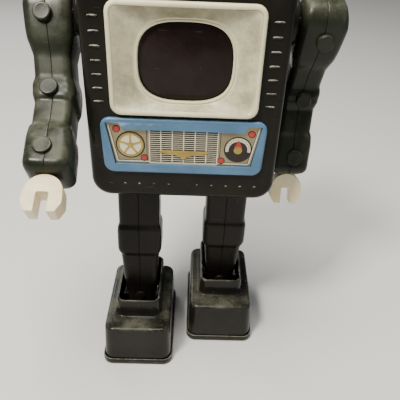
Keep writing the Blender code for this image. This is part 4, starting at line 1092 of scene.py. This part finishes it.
def legRows():
    top, wide = legLook["deep"] / 2, legLook["wide"] / 2
    knee, kneeDeep, kneeTop, kneeLow = (legLook[key] for key in ("knee", "kneeDeep", "kneeTop", "kneeLow"))
    shin, shinDeep, long = legLook["shin"], legLook["shinDeep"], legLook["long"]
    return [(-top * 0.97, wide - 3, 3.4, 3.4, 3.0), (-top * 0.72, wide - 1, 9.1, 9.1, 4.5),
        (-top * 0.3, wide, 12.5, 12.5, 5), (0, wide, top, top, 5), (kneeTop - 3, wide, top, top, 5),
        (kneeTop, knee - 0.5, kneeDeep, kneeDeep, 5.5), (kneeTop + 4, knee, kneeDeep, kneeDeep, 5.5),
        (kneeLow - 4, knee, kneeDeep, kneeDeep, 5.5), (kneeLow, knee - 1, kneeDeep - 0.5, kneeDeep - 0.5,
        5.5), (kneeLow + 2.5, wide - 0.5, top - 1, top - 1, 5),
        (long - 18, shin + 1.6, shinDeep + 0.9, shinDeep + 0.9, 5), (long - 8, shin, shinDeep, shinDeep, 5),
        (long, shin, shinDeep, shinDeep, 5), (long + 6, shin - 1, 7.5, 7.5, 4),
        (long + 9, shin - 3, 3.6, 3.6, 3)]


def makeLeg(name, side):
    hip = jointAt["left_hip" if name == "left" else "walk"]
    ankle = jointAt[name + "_ankle"]
    swing = math.atan2(ankle.y - hip.y, hip.z - ankle.z)
    turn = Matrix.Rotation(swing, 3, "X")
    for half, out in (("Outer", side), ("Inner", -side)):
        limb = limbHalf(f"{name}Leg{half}", legRows(), out, hip, swing, lambda d: ((0, 0, -d), 0.0),
            "legPlastic")
        if half == "Outer":
            base = hip + turn @ Vector((0, 0, -legLook["long"] + 6))
            front = legLook["shinDeep"] + 0.4
            profile = [(4.4, front - 2.5), (4.4, front + 0.9), (4.0, front + 1.5), (3.2, front + 1.7),
                (0.01, front + 1.6)]
            wearing(limb, turned(profile, base, turn @ Vector((0, -1, 0)), 36))
        fit(limb, name + "_leg", "dark_plastic", f"{name}_leg_{half.lower()}")
    print(name, "leg made")


# shoes

shoeLook = dict(wide=55.3, long=84.7, tier=38.6, lip=6.0, margin=2.4, collarWide=37.0, collarLong=62.0,
    collarBack=5.0, collarHigh=55.0, tin=1.2, back=4.0, toe=1.9)


def makeShoe(name):
    ankle = jointAt[name + "_ankle"]

    # rows of what is added to each half size, corner radius, height
    def levels(halfWide, halfLong, rows, back=0.0):
        return [[(ankle.x + a, ankle.y - shoeLook["back"] + back + b, height)
            for a, b in rounded(halfWide + moreWide, halfLong + moreLong, radius, 7)]
            for moreWide, moreLong, radius, height in rows]

    wide, long, tier, lip = shoeLook["wide"] / 2, shoeLook["long"] / 2, shoeLook["tier"], shoeLook["lip"]
    baseWide, baseLong = wide + shoeLook["margin"], long + shoeLook["margin"] + shoeLook["toe"]
    inner = shoeLook["tin"] + gap
    rings = levels(baseWide, baseLong, [(-inner, -inner, 8.0, height)
        for height in (inner, lip - 0.6, lip + 0.6)])
    rings += levels(0, 0, [(baseWide - inner + (wide - baseWide + inner) * share,
        baseLong - inner + (long + 0.3 - baseLong + inner) * share, 8.0, lip + (tier - 3.4 - lip) * share)
        for share in (0.2, 0.4, 0.6, 0.8)])
    rings += levels(wide, long, ((0, 0.3, 8.0, tier - 3.4), (-0.15, 0.1, 8.0, tier - 2.2),
        (-0.6, -0.3, 7.6, tier - 1.1), (-1.4, -1.1, 7.1, tier - 0.4), (-2.4, -2.1, 6.6, tier - 0.05),
        (-3.4, -3.2, 6.4, tier)))
    high = shoeLook["collarHigh"]
    collar = [(grow, grow, radius, tier + up) for grow, radius, up in ((2.2, 7.2, 0.02), (1.4, 6.9, 0.3),
        (0.9, 6.6, 1.2), (0.5, 6.3, 5))]
    collar += [(-less, -less, radius, high - down) for less, radius, down in ((0, 6.0, 1.6),
        (0.15, 5.9, 0.8), (0.5, 5.7, 0.25), (1.0, 5.4, 0), (1.6, 5.1, 0))]
    rings += levels(shoeLook["collarWide"] / 2, shoeLook["collarLong"] / 2, collar, shoeLook["collarBack"])
    upper = keep(name + "ShoeUpper", loft(rings), "shoeLacquer", 50, False)
    addWall(upper, 1.0)
    fit(upper, name + "_shoe", "dark_paint", name + "_shoe_upper")
    rows = ((2.6, 6.6, 0), (1.0, 7.7, 0.05), (0.3, 8.2, 0.5), (0, 8.5, 1.4), (0, 8.5, lip - 1.1),
        (0.1, 8.4, lip - 0.45), (0.35, 8.3, lip - 0.1), (0.7, 8.1, lip))
    rings = levels(baseWide, baseLong, [(-less, -less, radius, height) for less, radius, height in rows])
    sole = keep(name + "ShoeSole", loft(rings, capStart=True), "shoeLacquer", 50, False)
    addWall(sole, 0.9)
    fit(sole, name + "_shoe", "dark_paint", name + "_shoe_sole")
    print(name, "shoe made")


# head, neck and shoulders

head = dict(radius=9.0, tin=1.2, eye=8.0, ear=12.0, earThick=6.0, neck=24.0, mast=1.2, mastHigh=14.0,
    loop=6.0)


def makeHead():
    low, high = nodeBox("head_shell")
    neckLow = nodeBox("neck_ring")[0]
    middle = (low.y + high.y) / 2
    radius = head["neck"]
    ring = [(radius - 3, 0), (radius - 0.6, 0), (radius, 0.6), (radius, 1.6), (radius - 0.5, 2.1),
        (radius - 0.5, 2.9), (radius, 3.4), (radius, 4.4), (radius - 0.6, 5), (radius - 3, 5)]
    neck = keep("neckRing", loopTurned(ring, (0, middle, neckLow.z), (0, 0, 1), 64), "darkLacquer", 40)
    fit(neck, "torso", "dark_paint", "neck_ring")

    bm = boxMesh(low, high)
    upright = [e for e in bm.edges if abs((e.verts[0].co - e.verts[1].co).normalized().z) > 0.99]
    roundOver(bm, upright, head["radius"], 10)
    for level, size in ((high.z, head["radius"] - 2), (low.z, 1.6)):
        edges = [e for e in bm.edges if all(abs(v.co.z - level * mm) < 1e-7 for v in e.verts)]
        roundOver(bm, edges, size, 6)
    shell = keep("headShell", bm, "darkLacquer")
    addWall(shell, head["tin"])
    addCut(shell, turned([(radius - 4, -2), (radius - 4, 5)], (0, middle, low.z), (0, 0, 1), 48))
    mastHole = head["mast"] + gap
    addCut(shell, turned([(mastHole, -4), (mastHole, 2)], (0, middle, high.z), (0, 0, 1), 24))
    settle(shell)
    addWeighted(shell)
    fit(shell, "torso", "dark_paint", "head_shell")

    for side, name in ((1, "left"), (-1, "right")):
        eyeLow, eyeHigh = nodeBox(f"eye_{name}")
        eye = head["eye"]
        at = ((eyeLow.x + eyeHigh.x) / 2, eyeHigh.y, (eyeLow.z + eyeHigh.z) / 2)
        ring = [(eye, 0), (eye, 0.7), (eye - 0.3, 1.2), (eye - 0.9, 1.5), (eye - 1.5, 1.5), (eye - 2.0, 1.2),
            (eye - 2.6, 1.0), (eye - 3.4, 1.5), (eye - 4.8, 2.1), (2.2, 2.6), (0.01, 2.75)]
        turnedPiece(f"{name}Eye", ring, at, (0, -1, 0), 48, "creamPlastic", "cream_plastic", f"eye_{name}")
        pupil = [(2.9, 2.1), (2.9, 2.75), (2.5, 3.05), (1.4, 3.18), (0.01, 3.2)]
        turnedPiece(f"{name}Pupil", pupil, at, (0, -1, 0), 32, "smokedLens", "smoked_lens")
        earLow, earHigh = nodeBox(f"ear_{name}")
        ear, thick = head["ear"], head["earThick"]
        base = earLow.x if side > 0 else earHigh.x
        at = (base, (earLow.y + earHigh.y) / 2, (earLow.z + earHigh.z) / 2)
        ring = [(ear, 0), (ear, 1.2), (ear - 0.4, 1.9), (ear - 1.1, 2.3), (ear - 1.9, 2.5), (ear - 2.2, 3.0),
            (ear - 2.4, 4.4), (ear - 2.8, 5.2), (ear - 3.6, 5.8), (ear - 4.6, thick),
            (ear - 6.0, thick - 0.1), (ear - 6.6, thick - 0.8), (ear - 7.4, thick - 0.8),
            (ear - 8.2, thick - 0.2), (ear - 9.5, thick), (0.01, thick)]
        turnedPiece(f"{name}Ear", ring, at, (side, 0, 0), 56, "creamPlastic", "cream_plastic", f"ear_{name}")

    top = high.z
    at = (0, middle, top)
    mast = head["mast"]
    rod = [(mast, -head["tin"] - 2.5), (mast, head["mastHigh"] - 0.3), (mast * 0.6, head["mastHigh"] + 0.2),
        (0.01, head["mastHigh"] + 0.3)]
    antenna = turned([(0.01, -head["tin"] - 2.9)] + rod, at, (0, 0, 1), 24)
    nut = [(mast + 1.3, gap), (mast + 1.6, gap + 0.3), (mast + 1.6, 1.5), (mast + 0.9, 2.3),
        (mast + 0.1, 2.5)]
    join(antenna, turned(nut, at, (0, 0, 1), 32))
    centre = Vector((0, middle, top + head["mastHigh"] + head["loop"] - 0.5))
    rings = []
    for i in range(49):
        turn = 2 * math.pi * i / 48
        out = Vector((math.sin(turn), 0, -math.cos(turn)))
        rings.append([centre + out * (head["loop"] + 1.05 * math.cos(a)) + Vector((0, 1.05 * math.sin(a), 0))
            for a in (2 * math.pi * k / 12 for k in range(12))])
    join(antenna, loft(rings))
    fit(keep("antennaRod", antenna, "plainSteel", 50), "antenna", "steel", "antenna")
    print("head made")


def softened(node, finish, body, slot, width=0.18, segments=2):  # the CAD shape with its edges rounded over
    bm = bmesh.new()
    bm.from_mesh(frame["nodes"][node].data)
    bmesh.ops.remove_doubles(bm, verts=bm.verts, dist=1e-6)
    bmesh.ops.dissolve_limit(bm, angle_limit=math.radians(1.5), verts=bm.verts, edges=bm.edges)
    words = node.split("_")
    obj = keep(words[0] + "".join(word.title() for word in words[1:]), bm, finish, 35)
    roundEdges(obj, width, segments, 35)
    return fit(obj, body, slot, node)


# the rest of the pieces keep their CAD shape and get a finish

slotFinish = {"dark_paint": "darkLacquer", "dark_plastic": "darkPlastic", "cream_plastic": "creamPlastic",
    "cream_paint": "creamPaint", "smoked_lens": "smokedLens", "blue_paint": "bluePaint",
    "printed_tin": "printedTin", "bright_tin": "brightTin", "steel": "plainSteel", "brass": "stampedBrass",
    "rubber": "blackRubber", "print_strip": "paperStrip"}
softNodes = ("winding_key", "mouth_grille", "motor_plate_front", "motor_plate_back", "great_wheel",
    "ratchet_wheel", "contrate_wheel", "click", "stop_lever", "crank_left", "crank_right", "hip_axle",
    "shoulder_disc_left", "shoulder_disc_right", "left_ankle_axle", "right_ankle_axle", "left_leg_lever",
    "right_leg_lever", "left_arm_shaft", "right_arm_shaft", "picture_drum", "crank_bracket", "drum_bracket")


def finishNodes():
    bodyOf = {node: body for body, nodes in frame["record"]["behaviour"]["bodies"].items() for node in nodes}
    for part in frame["record"]["subparts"]:
        node, slot = part["node"], part["material_slot"]
        obj = frame["nodes"][node]
        obj.data.materials.clear()
        obj.data.materials.append(finishes[slotFinish[slot]])
        if node in softNodes:
            softened(node, slotFinish[slot], bodyOf[node], slot)
    print("inner pieces finished")


def makeFloor():
    bpy.ops.mesh.primitive_plane_add(size=8)
    floor = bpy.context.object
    floor.name = "floor"
    material = bpy.data.materials.new("paleFloor")
    material.use_nodes = True
    setValues(material.node_tree.nodes["Principled BSDF"], Base_Color=(*studio["floor"], 1),
        Roughness=studio["floorRough"])
    floor.data.materials.append(material)


makeCamera()
makeStudio()
makeFloor()
finishNodes()
makeTorso()
makeTrim()
makeScreen()
makePanel()
makeHead()
for name, side in (("left", 1), ("right", -1)):
    makeArm(name, side)
    makeHand(name)
    makeLeg(name, side)
    makeShoe(name)
